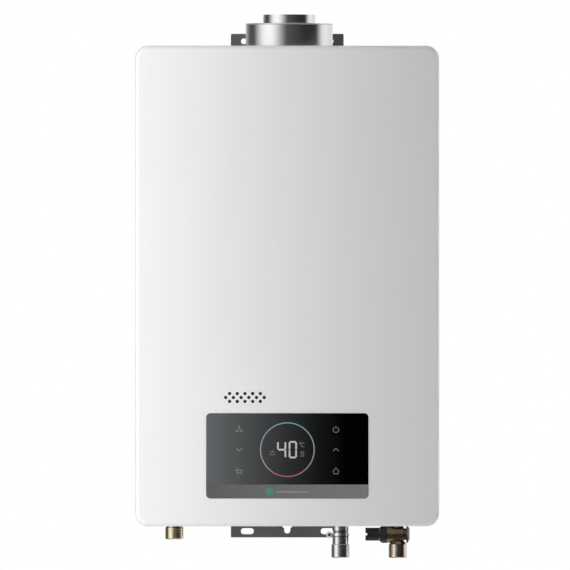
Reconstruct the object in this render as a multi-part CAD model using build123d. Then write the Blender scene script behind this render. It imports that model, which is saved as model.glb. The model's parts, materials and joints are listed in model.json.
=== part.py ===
from build123d import *
import math
import os

# A wall-hung, room-sealed gas water heater with a coaxial flue.
# Millimetres. +Z is up, the front faces -Y, the wall is the plane y = 0.
# The origin is midway between the two hanging holes of the top bracket, on the wall.

# Casing
CASE_W = 348.0
CASE_H = 550.0
CASE_D = 160.0
SHEET = 1.0
CORNER_R = 15.0
FRONT_EDGE_R = 5.0
BACK_EDGE_R = 2.5
REAR_D = 122.0
COVER_GAP = 0.4
COVER_LAP = 12.0
LIP_W = 12.0

# Cover seal and stiffening frame
GASKET_T = 4.0
GASKET_W = 8.0
GASKET_INSET = 3.0
FRAME_W = 14.0
FRAME_FLANGE_SHARE = 0.43
FRAME_GAP = 0.05

# Cover screws, countersunk into the cover's top and bottom walls
COVER_SCREW_SPACING = 200.0
COVER_SCREW_R = 1.9
COVER_SCREW_HEAD_R = 3.4
COVER_SCREW_TIP = 1.2
COVER_SCREW_SETBACK = 6.0

# Wall brackets
BRACKET_T = 2.0
BRACKET_W = 130.0
BRACKET_R = 1.5
TOP_BRACKET_RISE = 15.6
TOP_BRACKET_H = 60.0
HANG_SPACING = 100.0
HANG_R = 3.3
HANG_RISE = 7.0
LOW_BRACKET_DROP = 14.8
LOW_BRACKET_H = 58.0
SLOT_SPACING = 92.0
SLOT_LENGTH = 15.0
SLOT_R = 3.5
SLOT_DROP = 7.6
NOTCH_W = 7.0
NOTCH_DROP = 10.3
NOTCH_HEAD_R = 7.0
NOTCH_HEAD_RISE = 1.8
BRACKET_SCREW_SPACING = 90.0
BRACKET_SCREW_PITCH = 18.0
BRACKET_SCREW_R = 2.0
BRACKET_SCREW_HEAD_R = 3.8
BRACKET_SCREW_HEAD_T = 2.4
BRACKET_SCREW_SHORT = 0.3
THREAD_GAP = 0.05

# Touch panel and what stands behind it
PANEL_W = 185.0
PANEL_H = 97.0
PANEL_R = 4.5
PANEL_RISE = 80.6
GLASS_T = 3.0
GLASS_PROUD = 0.6
PANEL_GAP = 0.3
BAND_H = 15.7
HOUSING_RIM = 4.0
HOUSING_WALL = 2.0
HOUSING_D = 18.0
WINDOW_MARGIN = 9.0
BOARD_T = 1.6
BOARD_POST_R = 3.0
BOARD_POST_L = 5.0
BOARD_MARGIN = 2.0
DIGIT_BLOCK_W = 66.0

# Sound holes and the speaker behind them
HOLE_R = 1.9
HOLE_PITCH = 8.8
HOLE_ROW = 4.5
HOLES_LONG_ROW = 6
HOLES_X = -48.4
HOLES_RISE = 147.4
SPEAKER_W = 54.0
SPEAKER_H = 16.0
SPEAKER_D = 8.0
SPEAKER_WALL = 2.0

# Coaxial flue
FLUE_X = 2.3
COLLAR_R = 50.0
COLLAR_RISE = 26.5
COLLAR_STEP = 1.5
COLLAR_STEP_RISE = 0.6
FLUE_R = 30.0
FLUE_RISE = 36.7
FLUE_WALL = 1.0
FLUE_STEP = 1.5
FLUE_GRIP_L = 20.0
FLUE_HOLE_GAP = 0.3
COLLAR_RELIEF = 1.0
FLANGE_W = 122.0
FLANGE_T = 1.2
FLANGE_MARGIN = 2.0
FLUE_GASKET_T = 1.5
FLUE_SCREW_INSET = 7.0
FLUE_SCREW_CLEAR = 0.6
FLUE_SCREW_R = 2.0
FLUE_SCREW_HEAD_R = 3.4
FLUE_SCREW_HEAD_T = 1.1
FLUE_SCREW_L = 5.0
SPACER_H = 8.0
SPACER_T = 1.5
SPACER_LEGS = 3
SPACER_DROP = 12.0
SPACER_GAP = 0.1

# Burner, exchanger and hood stand in one stack over the fan
STACK_SIDE_ROOM = 66.0
STACK_D = 88.0
STACK_R = 8.0
STACK_WALL = 1.5
STACK_FLANGE = 6.0
STACK_BACK_GAP = 1.5
HOOD_DROP = 125.0
HOOD_TAPER_H = 55.0
HOOD_SOCKET_H = 20.0
HOOD_SEAT = 2.0
FIN_H = 50.0
FIN_T = 1.0
FIN_PITCH = 8.0
FIN_GAP = 0.3
FIN_TOP_GAP = 2.0
TUBE_R = 6.35
TUBE_WALL = 0.9
TUBE_PITCH = 16.0
TUBE_COUNT = 5
TUBE_DROP = 35.0
TUBE_STUB = 3.0
TUBE_HOLE_GAP = 0.05
COIL_GAP = 1.0
COIL_RISE = 20.0
COIL_PITCH = 26.0
COIL_TURNS = 3
COIL_END_BEND = 9.0
COIL_END_REACH = 18.0
SWITCH_R = 8.0
SWITCH_L = 7.0
SWITCH_X = 42.0
SWITCH_COIL_GAP = 15.65
BURNER_RISE = 180.0
BURNER_H = 75.0
BAR_PITCH = 15.6
BAR_T = 8.0
BAR_H = 42.0
BAR_GAP = 0.3
BAR_SLOTS = 7
BAR_SLOT_W = 2.0
BAR_SLOT_H = 6.0
LEDGE_W = 8.0
LEDGE_H = 13.0
BURNER_BRACKET_W = 120.0
BURNER_BRACKET_H = 40.0
BURNER_BRACKET_RISE = 14.0
MANIFOLD_INSET = 7.0
MANIFOLD_D = 16.0
MANIFOLD_H = 18.0
MANIFOLD_RISE = 20.0
MANIFOLD_WALL = 2.0
JET_R = 2.5
JET_BORE_R = 0.6
JET_L = 2.6
ELECTRODE_SPACING = 34.0
ELECTRODE_R = 4.0
ELECTRODE_DROP = 7.0
ELECTRODE_OUT = 12.0
ELECTRODE_IN = 6.0
ROD_R = 1.0
ROD_L = 30.0

# Fan
FAN_X = -38.0
FAN_DROP = 72.0
FAN_FRONT_BACK = 45.0
FAN_BACK_GAP = 37.0
FAN_WALL = 1.5
TONGUE_DEG = 70.0
SCROLL_R0 = 47.0
SCROLL_R1 = 62.0
IMPELLER_R = 42.0
IMPELLER_W = 34.0
IMPELLER_HUB_R = 9.0
IMPELLER_PLATE = 1.5
IMPELLER_EYE_R = 33.0
BLADE_COUNT = 30
BLADE_T = 1.2
BLADE_LEAN_DEG = 25.0
IMPELLER_BACK_GAP = 4.0
EYE_RIM_H = 2.5
EYE_RIM_T = 2.0
SHAFT_R = 3.0
SHAFT_GAP = 0.05
SHAFT_HOLE_GAP = 2.0
SHAFT_TAIL = 18.0
MOTOR_R = 28.0
MOTOR_L = 27.0
MOTOR_FLANGE_R = 33.0
MOTOR_FLANGE_T = 3.0

# Gas inlet, valve and pipe
GAS_SETBACK = 83.0
PIPE_THREAD_R = 10.4775
GAS_DROP = 37.3
GAS_THREAD_L = 16.0
GAS_NECK_R = 9.3
GAS_BORE_R = 6.0
GAS_GROOVE_DROP = 6.0
GAS_GROOVE_H = 2.4
GAS_GROOVE_DEPTH = 0.7
CLIP_DROP = 10.7
CLIP_T = 1.2
CLIP_R = 10.3
CLIP_GAP = 0.1
EAR_REACH = 13.0
EAR_R = 3.6
EAR_HOLE_R = 1.5
FITTING_FLANGE_R = 14.0
FITTING_FLANGE_T = 4.0
VALVE_SIDE_GAP = 12.1
VALVE_W = 50.0
VALVE_D = 46.0
VALVE_H = 80.0
VALVE_RISE = 25.0
VALVE_EDGE_R = 4.0
PORT_DEPTH = 10.0
SEAT_SPARE = 5.0
SEAT_BORE_R = 5.0
CHAMBER_R = 9.0
SOLENOID_SHIFT = 9.0
SOLENOID_R = 15.0
SOLENOID_H = 42.0
PLUNGER_R = 5.0
PLUNGER_L = 33.0
PLUNGER_GAP = 0.05
PLUNGER_TRAVEL = 3.0
VALVE_DISC_R = 7.5
VALVE_DISC_T = 2.0
SPRING_TURNS = 5
SPRING_WIRE_R = 0.5
SPRING_R = 3.6
SPRING_ROOM = 12.0
SPRING_END_GAP = 0.3
GAS_PIPE_R = 6.35
GAS_PIPE_WALL = 1.0
GAS_PIPE_SHIFT = -16.0
GAS_PIPE_BEND = 14.0
GAS_PIPE_CLIMB = 26.0
REGULATOR_R = 14.0
REGULATOR_L = 9.0

# Cold water inlet with its drain plug
COLD_INSET = 47.0
WATER_SETBACK = 61.0
COLD_DROP = 37.6
COLD_THREAD_L = 12.0
COLD_NECK_R = 6.6
COLD_SHOULDER_R = 9.6
COLD_SHOULDER_H = 8.3
COLD_AXIS_DROP = 10.3
COLD_BODY_R = 9.9
COLD_BODY_LEFT = 12.8
COLD_BODY_RIGHT = 6.7
COLD_BORE_R = 5.4
COLD_RISER_R = 9.2
STRAINER_BORE_R = 7.0
SPIGOT_R = 8.0
SPIGOT_L = 5.4
DRAIN_NUT_R = 10.15
DRAIN_NUT_L = 8.0
DRAIN_NUT_CHAMFER = 2.4
STEM_R = 4.5
STEM_GAP = 0.05
DRAIN_TRAVEL = 3.0
PISTON_GAP = 0.5
PISTON_R = 6.85
PISTON_L = 7.0
SEAL_R = 6.95
SEAL_W = 1.6
SEAL_DEPTH = 1.2
SEAL_PITCH = 3.2
STRAINER_R = 6.2
STRAINER_WALL = 0.7
STRAINER_END_GAP = 0.6
STRAINER_HOLE_R = 1.0
STRAINER_HOLES = 8
STRAINER_ROWS = 3
KNOB_R = 7.5
KNOB_L = 16.2
KNOB_GAP = 0.15
KNOB_SOCKET_GAP = 0.05
KNOB_SOCKET_DEPTH = 8.0
KNOB_CUP_R = 5.0
KNOB_CUP_DEPTH = 4.0
KNOB_NOTCHES = 6
KNOB_NOTCH_W = 2.6
KNOB_NOTCH_DEPTH = 2.0
KNOB_FLUTES = 12
KNOB_FLUTE_R = 0.9
PLUG_AF = 20.0
PLUG_L = 6.9
PLUG_NECK_R = 6.7
PLUG_NECK_L = 3.0
PLUG_RIM_T = 1.2
PLUG_FACE_R = 6.0
PLUG_SPIGOT_R = 6.95
PLUG_SPIGOT_L = 3.2
SENSOR_RISE = 20.0
SENSOR_H = 40.0
SENSOR_R = 13.0
SENSOR_BORE_GAP = 0.1
SENSOR_INSERT = 6.0
SENSOR_TOP = 8.0
SENSOR_PIPE_INSERT = 6.0
SPIDER_T = 3.0
SPIDER_GAP = 1.0
TURBINE_R = 8.4
TURBINE_HUB_R = 3.0
TURBINE_BLADES = 4
TURBINE_BLADE_T = 1.4
TURBINE_GAP = 0.5
JOURNAL_R = 1.2
JOURNAL_GAP = 0.05
JOURNAL_L = 2.5
HALL_W = 14.0
HALL_D = 9.0
HALL_H = 18.0

# Hot water outlet
HOT_INSET = 44.3
HOT_DROP = 16.2
HOT_NECK_R = 9.4
HOT_NECK_L = 2.0
HOT_BORE_R = 5.4
HOT_COLLAR_R = 9.0
HOT_COLLAR_H = 14.0
PIPE_SOCKET = 6.0
PIPE_SOCKET_GAP = 0.05
HOT_JOG_DROP = 40.0
HOT_JOG_H = 36.0
HOT_BEND = 14.0
THREAD_CHAMFER = 1.0

# Rubber grommets in the bottom of the rear case
GROMMET_WALL = 2.0
GROMMET_RIM = 2.0
GROMMET_RIM_T = 1.1
GROMMET_GAP = 0.05
CORD_SETBACK = 22.0
CORD_BORE_R = 4.0
CORD_NECK_R = 7.0
CORD_RIM_R = 10.0
CORD_RIM_T = 2.0
CORD_BOSS_R = 6.5
CORD_BOSS_L = 5.0

# Control box and spark igniter on the side walls
BOX_W = 72.0
BOX_D = 30.0
BOX_H = 130.0
BOX_RISE = 22.0
BOX_WALL = 2.0
BOX_LID_T = 2.0
BOX_LIP_GAP = 1.0
BOX_POST_R = 3.0
BOX_POST_L = 5.0
BOX_POST_INSET = 8.0
BOX_BOARD_GAP = 1.0
TRANSFORMER_W = 30.0
TRANSFORMER_H = 34.0
TRANSFORMER_D = 14.0
RELAY_W = 16.0
RELAY_H = 20.0
RELAY_D = 12.0
IGNITER_W = 30.0
IGNITER_D = 44.0
IGNITER_H = 58.0
IGNITER_RISE = 184.0
IGNITER_BACK_GAP = 4.0
IGNITER_EDGE_R = 2.0

# Levels and planes worked out from the sizes above
TOP = -HANG_RISE
BOTTOM = TOP - CASE_H
MID_Z = (TOP + BOTTOM) / 2
BACK = -BRACKET_T
FRONT = BACK - CASE_D
REAR_EDGE = BACK - REAR_D
COVER_BACK = REAR_EDGE + COVER_LAP
REAR_INSET = SHEET + COVER_GAP
REAR_TOP = TOP - REAR_INSET
REAR_BOTTOM = BOTTOM + REAR_INSET
INNER_BACK = BACK - SHEET
INNER_TOP = REAR_TOP - SHEET
INNER_BOTTOM = REAR_BOTTOM + SHEET
INNER_HALF_W = CASE_W / 2 - REAR_INSET - SHEET
INNER_FRONT = FRONT + SHEET
LIP_BACK = REAR_EDGE + SHEET
FLUE_Y = (INNER_BACK + LIP_BACK) / 2
FLUE_NECK_R = FLUE_R - FLUE_STEP
STACK_X = FLUE_X
STACK_W = CASE_W - 2 * STACK_SIDE_ROOM
STACK_BACK = INNER_BACK - STACK_BACK_GAP - 2 * TUBE_R - COIL_GAP
STACK_FRONT = STACK_BACK - STACK_D
STACK_Y = (STACK_BACK + STACK_FRONT) / 2
STACK_LEFT = STACK_X - STACK_W / 2
STACK_RIGHT = STACK_X + STACK_W / 2
HOOD_BASE = TOP - HOOD_DROP
HOOD_TOP = HOOD_BASE + HOOD_TAPER_H
BURNER_BASE = BOTTOM + BURNER_RISE
BURNER_TOP = BURNER_BASE + BURNER_H
TUBE_Z = HOOD_BASE - TUBE_DROP
FAN_Z = BURNER_BASE - FAN_DROP
FAN_BACK = INNER_BACK - FAN_BACK_GAP
FAN_FRONT = FAN_BACK - FAN_FRONT_BACK
HOT_X = HOT_INSET - CASE_W / 2
COLD_X = CASE_W / 2 - COLD_INSET
CORD_X = HOT_X
GAS_X = FAN_X + SCROLL_R1 + VALVE_SIDE_GAP + VALVE_W / 2
GAS_Y = BACK - GAS_SETBACK
WATER_Y = BACK - WATER_SETBACK
COLD_AXIS_Z = BOTTOM - COLD_AXIS_DROP
COLD_LEFT = COLD_X - COLD_BODY_LEFT
COLD_RIGHT = COLD_X + COLD_BODY_RIGHT
NUT_LEFT = COLD_LEFT - DRAIN_NUT_L
KNOB_RIGHT = NUT_LEFT - KNOB_GAP
KNOB_LEFT = KNOB_RIGHT - KNOB_L
SENSOR_BASE = BOTTOM + SENSOR_RISE
SENSOR_END = SENSOR_BASE + SENSOR_H
VALVE_BASE = BOTTOM + VALVE_RISE
VALVE_TOP = VALVE_BASE + VALVE_H
SOLENOID_X = GAS_X + SOLENOID_SHIFT
SEAT_DEPTH = VALVE_DISC_T + PLUNGER_TRAVEL + SEAT_SPARE
COIL_TOP = BURNER_TOP + COIL_RISE + (COIL_TURNS - 1) * COIL_PITCH
BAR_COUNT = int((STACK_W - 2 * (STACK_WALL + STACK_R) - BAR_T) // BAR_PITCH) + 1
MANIFOLD_BASE = BURNER_BASE + MANIFOLD_RISE
MANIFOLD_Y = STACK_FRONT - MANIFOLD_D / 2
PANEL_Z = BOTTOM + PANEL_RISE
GLASS_FRONT = FRONT - GLASS_PROUD
GLASS_BACK = GLASS_FRONT + GLASS_T


def middle(span):
    return (span[0] + span[1]) / 2


def block(x, y, z):
    """A box that fills three spans."""
    size = Box(x[1] - x[0], y[1] - y[0], z[1] - z[0])
    return Pos(middle(x), middle(y), middle(z)) * size


def rod_x(x, y, z, radius):
    return Pos(middle(x), y, z) * Rot(0, 90, 0) * Cylinder(radius, x[1] - x[0])


def rod_y(x, y, z, radius):
    return Pos(x, middle(y), z) * Rot(90, 0, 0) * Cylinder(radius, y[1] - y[0])


def rod_z(x, y, z, radius):
    return Pos(x, y, middle(z)) * Cylinder(radius, z[1] - z[0])


def ring_z(x, y, z, outer, inner):
    return rod_z(x, y, z, outer) - rod_z(x, y, z, inner)


def slab_y(sketch, y):
    """Extrude a sketch drawn in X and Z over a span of Y."""
    plane = Plane(origin=(0, y[1], 0), x_dir=(1, 0, 0), z_dir=(0, -1, 0))
    return extrude(plane * sketch, amount=y[1] - y[0])


def slab_z(sketch, z):
    """Extrude a sketch drawn in X and Y over a span of Z."""
    return extrude(Plane.XY.offset(z[0]) * sketch, amount=z[1] - z[0])


def casing_outline(inset):
    """The casing's rounded outline, drawn in by an inset all round."""
    radius = max(CORNER_R - inset, SHEET)
    return Pos(0, MID_Z) * RectangleRounded(CASE_W - 2 * inset, CASE_H - 2 * inset, radius)


def stack_outline(grow, radius):
    return Pos(STACK_X, STACK_Y) * RectangleRounded(STACK_W + 2 * grow, STACK_D + 2 * grow, radius)


def panel_outline(grow):
    return Pos(0, PANEL_Z) * RectangleRounded(PANEL_W + 2 * grow, PANEL_H + 2 * grow, PANEL_R + max(grow, 0))


def tube(points, bends, radius, wall):
    """A bent tube along straight runs joined by arcs."""
    path = FilletPolyline(*points, radius=bends)
    start = Vector(*points[0])
    section = Plane(origin=start, z_dir=Vector(*points[1]) - start) * (Circle(radius) - Circle(radius - wall))
    return sweep(section, path=path)


def cover_screw_places():
    """Each cover screw as its X, its wall's outer face and the way it points inward."""
    half = COVER_SCREW_SPACING / 2
    return [(x, z, way) for x in (-half, half) for z, way in ((BOTTOM, 1), (TOP, -1))]


def cover_screw_shape(x, face, way, gap):
    """A flush screw, or with a gap the hole that it sits in."""
    y = COVER_BACK - COVER_SCREW_SETBACK
    head = Cone(COVER_SCREW_HEAD_R + gap, COVER_SCREW_R + gap, SHEET)
    turn = Rot(0, 0, 0) if way > 0 else Rot(180, 0, 0)
    tip = face + way * (REAR_INSET + SHEET + COVER_SCREW_TIP)
    shank_span = sorted((face + way * SHEET, tip))
    head_at = Pos(x, y, face + way * SHEET / 2)
    return head_at * turn * head + rod_z(x, y, shank_span, COVER_SCREW_R + gap)


def sound_hole_places():
    places = []
    for row in (-1, 0, 1):
        count = HOLES_LONG_ROW - abs(row)
        for i in range(count):
            x = HOLES_X + (i - (count - 1) / 2) * HOLE_PITCH
            places.append((x, BOTTOM + HOLES_RISE + row * HOLE_ROW))
    return places


def front_cover():
    outer = slab_y(casing_outline(0), (FRONT, COVER_BACK))
    outer = fillet(outer.faces().sort_by(Axis.Y)[0].edges(), FRONT_EDGE_R)
    hollow = slab_y(casing_outline(SHEET), (INNER_FRONT, COVER_BACK))
    hollow = fillet(hollow.faces().sort_by(Axis.Y)[0].edges(), FRONT_EDGE_R - SHEET)
    wall = (FRONT, INNER_FRONT)
    cuts = [slab_y(panel_outline(PANEL_GAP), wall)]
    # A shallow relief in the top's rear edge clears the flue collar
    cuts.append(rod_z(FLUE_X, FLUE_Y, (TOP - SHEET, TOP), COLLAR_R + COLLAR_RELIEF))
    cuts += [rod_y(x, wall, z, HOLE_R) for x, z in sound_hole_places()]
    cuts += [cover_screw_shape(x, z, way, THREAD_GAP) for x, z, way in cover_screw_places()]
    return outer - hollow - cuts


def cover_screws():
    return [cover_screw_shape(x, z, way, 0) for x, z, way in cover_screw_places()]


def cover_frame():
    """A sheet ring that stiffens the cover and presses on the gasket."""
    seat = REAR_EDGE - GASKET_T
    edge = SHEET + FRAME_GAP
    plate = slab_y(casing_outline(edge) - casing_outline(edge + FRAME_W), (seat - SHEET, seat))
    # Its flange covers a share of the cover's straight wall in front of it
    straight = seat - SHEET - (FRONT + FRONT_EDGE_R)
    flange_span = (seat - SHEET - FRAME_FLANGE_SHARE * straight, seat - SHEET)
    flange = slab_y(casing_outline(edge) - casing_outline(edge + SHEET), flange_span)
    return plate + flange


def cover_gasket():
    inset = REAR_INSET + GASKET_INSET
    ring = casing_outline(inset) - casing_outline(inset + GASKET_W)
    return slab_y(ring, (REAR_EDGE - GASKET_T, REAR_EDGE))


def fittings():
    """Where pipes pass the bottom of the rear case: X, Y and neck radius."""
    return [(HOT_X, WATER_Y, HOT_NECK_R), (GAS_X, GAS_Y, GAS_NECK_R), (COLD_X, WATER_Y, COLD_NECK_R)]


def flue_screw_places():
    x_half = FLANGE_W / 2 - FLUE_SCREW_INSET
    y_half = FLUE_Y - COVER_BACK - FLUE_SCREW_HEAD_R - FLUE_SCREW_CLEAR
    return [(FLUE_X + sx * x_half, FLUE_Y + sy * y_half) for sx in (-1, 1) for sy in (-1, 1)]


def flange_depth():
    return INNER_BACK - LIP_BACK - 2 * FLANGE_MARGIN


def bracket_screw_places():
    half = BRACKET_SCREW_SPACING / 2
    rows = [edge - way * step * BRACKET_SCREW_PITCH for edge, way in ((TOP, 1), (BOTTOM, -1)) for step in (1, 2)]
    return [(x, z) for x in (-half, half) for z in rows]


def rear_case():
    outer = slab_y(casing_outline(REAR_INSET), (REAR_EDGE, BACK))
    outer = fillet(outer.faces().sort_by(Axis.Y)[-1].edges(), BACK_EDGE_R)
    hollow = slab_y(casing_outline(REAR_INSET + SHEET), (LIP_BACK, INNER_BACK))
    hollow = fillet(hollow.faces().sort_by(Axis.Y)[-1].edges(), BACK_EDGE_R - SHEET)
    mouth = slab_y(casing_outline(REAR_INSET + LIP_W), (REAR_EDGE, LIP_BACK))
    cuts = [rod_z(FLUE_X, FLUE_Y, (INNER_TOP, REAR_TOP), COLLAR_R + FLUE_HOLE_GAP)]
    floor = (REAR_BOTTOM, INNER_BOTTOM)
    cuts += [rod_z(x, y, floor, r + GROMMET_WALL + GROMMET_GAP) for x, y, r in fittings()]
    cuts.append(rod_z(CORD_X, BACK - CORD_SETBACK, floor, CORD_NECK_R + GROMMET_GAP))
    cuts += [rod_z(x, y, (INNER_TOP, REAR_TOP), FLUE_SCREW_R + THREAD_GAP) for x, y in flue_screw_places()]
    wall = (INNER_BACK, BACK)
    cuts += [rod_y(x, wall, z, BRACKET_SCREW_R + THREAD_GAP) for x, z in bracket_screw_places()]
    # Slots open to the front let the loosened cover screws leave with the cover
    half = COVER_SCREW_R + COVER_GAP
    slot_back = COVER_BACK - COVER_SCREW_SETBACK + half
    for x, face, way in cover_screw_places():
        reach = sorted((face, face + way * (REAR_INSET + SHEET + COVER_SCREW_TIP + COVER_GAP)))
        cuts.append(block((x - half, x + half), (REAR_EDGE, slot_back), reach))
    return outer - hollow - mouth - cuts


def bracket_plate(low, high):
    return Pos(0, middle((low, high))) * RectangleRounded(BRACKET_W, high - low, BRACKET_R)


def bracket_screw_holes():
    wall = (BACK, 0)
    return [rod_y(x, wall, z, BRACKET_SCREW_R + THREAD_GAP) for x, z in bracket_screw_places()]


def top_wall_bracket():
    high = TOP + TOP_BRACKET_RISE
    plate = bracket_plate(high - TOP_BRACKET_H, high)
    for side in (-1, 1):
        plate -= Pos(side * HANG_SPACING / 2, 0) * Circle(HANG_R)
    return slab_y(plate, (BACK, 0)) - bracket_screw_holes()


def bottom_wall_bracket():
    low = BOTTOM - LOW_BRACKET_DROP
    plate = bracket_plate(low, low + LOW_BRACKET_H)
    for side in (-1, 1):
        plate -= Pos(side * SLOT_SPACING / 2, BOTTOM - SLOT_DROP) * SlotOverall(SLOT_LENGTH, 2 * SLOT_R)
    # A keyhole whose narrow end points down
    head_z = BOTTOM + NOTCH_HEAD_RISE
    foot_z = BOTTOM - NOTCH_DROP + NOTCH_W / 2
    plate -= Pos(0, head_z) * Circle(NOTCH_HEAD_R)
    plate -= Pos(0, foot_z) * Circle(NOTCH_W / 2)
    plate -= Pos(0, middle((head_z, foot_z))) * Rectangle(NOTCH_W, head_z - foot_z)
    return slab_y(plate, (BACK, 0)) - bracket_screw_holes()


def bracket_screws():
    """Screws driven from inside the rear case into the brackets, short of the wall."""
    screws = []
    for x, z in bracket_screw_places():
        shank = rod_y(x, (INNER_BACK, -BRACKET_SCREW_SHORT), z, BRACKET_SCREW_R)
        head = rod_y(x, (INNER_BACK - BRACKET_SCREW_HEAD_T, INNER_BACK), z, BRACKET_SCREW_HEAD_R)
        screws.append(shank + head)
    return screws


def panel_glass():
    return slab_y(panel_outline(0) - band_outline(), (GLASS_FRONT, GLASS_BACK))


def band_outline():
    """The panel's lower strip, which the glass stops short of."""
    low = PANEL_Z - PANEL_H / 2
    strip = Pos(0, low + BAND_H / 2) * Rectangle(PANEL_W, BAND_H)
    return panel_outline(0) & strip


def panel_band():
    return slab_y(band_outline(), (GLASS_FRONT, GLASS_BACK))


def board_post_places():
    x_half = PANEL_W / 2 - WINDOW_MARGIN / 2
    z_half = PANEL_H / 2 - WINDOW_MARGIN / 2
    return [(sx * x_half, PANEL_Z + sz * z_half) for sx in (-1, 1) for sz in (-1, 1)]


def display_housing():
    """A tray behind the cover that carries the glass in front and the board behind."""
    seat_back = GLASS_BACK + HOUSING_WALL
    back = INNER_FRONT + HOUSING_D
    tray = slab_y(panel_outline(HOUSING_RIM), (INNER_FRONT, back))
    tray -= slab_y(panel_outline(PANEL_GAP), (INNER_FRONT, GLASS_BACK))
    tray -= slab_y(panel_outline(-WINDOW_MARGIN), (GLASS_BACK, seat_back))
    tray -= slab_y(panel_outline(HOUSING_RIM - HOUSING_WALL), (seat_back, back))
    posts = [rod_y(x, (seat_back, seat_back + BOARD_POST_L), z, BOARD_POST_R) for x, z in board_post_places()]
    return tray + posts


def display_board():
    """The board with its digit block, which shines through the window."""
    front = GLASS_BACK + HOUSING_WALL + BOARD_POST_L
    board = slab_y(panel_outline(-BOARD_MARGIN), (front, front + BOARD_T))
    digits_z = PANEL_Z + BAND_H / 2
    half = DIGIT_BLOCK_W / 2
    tall = PANEL_H / 2 - WINDOW_MARGIN - BAND_H / 2
    digits = block((-half, half), (GLASS_BACK, front), (digits_z - tall, digits_z + tall))
    plug = block((half, half + BOARD_POST_L), (front + BOARD_T, front + 2 * BOARD_T), (digits_z - tall, digits_z))
    return board + digits + plug


def alarm_speaker():
    z = BOTTOM + HOLES_RISE
    x = (HOLES_X - SPEAKER_W / 2, HOLES_X + SPEAKER_W / 2)
    body = block(x, (INNER_FRONT, INNER_FRONT + SPEAKER_D), (z - SPEAKER_H / 2, z + SPEAKER_H / 2))
    half_w = SPEAKER_W / 2 - SPEAKER_WALL
    half_h = SPEAKER_H / 2 - SPEAKER_WALL
    mouth_x = (HOLES_X - half_w, HOLES_X + half_w)
    return body - block(mouth_x, (INNER_FRONT, INNER_FRONT + SPEAKER_WALL), (z - half_h, z + half_h))


def flue_flange_outline():
    return Pos(FLUE_X, FLUE_Y) * Rectangle(FLANGE_W, flange_depth())


def stepped_tube(z, step, radius, draw):
    """A flue tube whose foot is drawn in below a step, where the next pipe's sleeve stops."""
    neck = radius - draw
    pipe = rod_z(FLUE_X, FLUE_Y, (z[0], step), neck) + rod_z(FLUE_X, FLUE_Y, (step, z[1]), radius)
    pipe -= rod_z(FLUE_X, FLUE_Y, (z[0], step + FLUE_WALL), neck - FLUE_WALL)
    return pipe - rod_z(FLUE_X, FLUE_Y, (step + FLUE_WALL, z[1]), radius - FLUE_WALL)


def air_collar():
    """The outer flue tube, its flange drawn up against the case from inside."""
    flange_top = INNER_TOP - FLUE_GASKET_T
    low = flange_top - FLANGE_T
    high = TOP + COLLAR_RISE
    step = TOP + COLLAR_STEP_RISE
    flange = slab_z(flue_flange_outline(), (low, flange_top))
    collar = flange + stepped_tube((low, high), step, COLLAR_R, COLLAR_STEP)
    collar -= rod_z(FLUE_X, FLUE_Y, (low, flange_top), COLLAR_R - COLLAR_STEP - FLUE_WALL)
    return collar - [rod_z(x, y, (low, flange_top), FLUE_SCREW_R + THREAD_GAP) for x, y in flue_screw_places()]


def flue_gasket():
    span = (INNER_TOP - FLUE_GASKET_T, INNER_TOP)
    sheet = slab_z(flue_flange_outline(), span)
    holes = [rod_z(x, y, span, FLUE_SCREW_R + THREAD_GAP) for x, y in flue_screw_places()]
    return sheet - rod_z(FLUE_X, FLUE_Y, span, COLLAR_R + FLUE_HOLE_GAP) - holes


def flue_screws():
    screws = []
    for x, y in flue_screw_places():
        head = rod_z(x, y, (REAR_TOP, REAR_TOP + FLUE_SCREW_HEAD_T), FLUE_SCREW_HEAD_R)
        screws.append(head + rod_z(x, y, (REAR_TOP - FLUE_SCREW_L, REAR_TOP), FLUE_SCREW_R))
    return screws


def flue_pipe():
    """The inner flue tube, full size over the length that the next pipe's sleeve grips."""
    high = TOP + FLUE_RISE
    return stepped_tube((HOOD_TOP + HOOD_SEAT, high), high - FLUE_GRIP_L, FLUE_R, FLUE_STEP)


def flue_spacer():
    """A ring with legs that keeps the flue pipe in the middle of the air collar."""
    high = TOP + COLLAR_RISE - SPACER_DROP
    span = (high - SPACER_H, high)
    inner = FLUE_NECK_R + SPACER_GAP
    outer = COLLAR_R - FLUE_WALL - SPACER_GAP
    spacer = ring_z(FLUE_X, FLUE_Y, span, inner + SPACER_T, inner)
    leg = block((inner + SPACER_T / 2, outer - SPACER_GAP), (-SPACER_T / 2, SPACER_T / 2), span)
    for i in range(SPACER_LEGS):
        spacer += Pos(FLUE_X, FLUE_Y, 0) * Rot(0, 0, 90 + 360 * i / SPACER_LEGS) * leg
    return spacer


def hood_taper(inset, low, high):
    base = Plane.XY.offset(low) * stack_outline(-inset, STACK_R - inset)
    mouth = Pos(FLUE_X, FLUE_Y, high) * Circle(FLUE_NECK_R + TUBE_HOLE_GAP + STACK_WALL - inset)
    return loft([base, mouth])


def flue_hood():
    flange_top = HOOD_BASE + STACK_WALL
    socket_top = HOOD_TOP + HOOD_SOCKET_H
    socket_r = FLUE_NECK_R + TUBE_HOLE_GAP
    hood = hood_taper(0, flange_top, HOOD_TOP)
    hood += slab_z(stack_outline(STACK_FLANGE, STACK_R), (HOOD_BASE, flange_top))
    hood += rod_z(FLUE_X, FLUE_Y, (HOOD_TOP, socket_top), socket_r + STACK_WALL)
    hood -= slab_z(stack_outline(-STACK_WALL, STACK_R - STACK_WALL), (HOOD_BASE, flange_top))
    hood -= hood_taper(STACK_WALL, flange_top, HOOD_TOP)
    hood -= rod_z(FLUE_X, FLUE_Y, (HOOD_TOP, HOOD_TOP + HOOD_SEAT), FLUE_NECK_R - FLUE_WALL)
    return hood - rod_z(FLUE_X, FLUE_Y, (HOOD_TOP + HOOD_SEAT, socket_top), socket_r)


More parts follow.
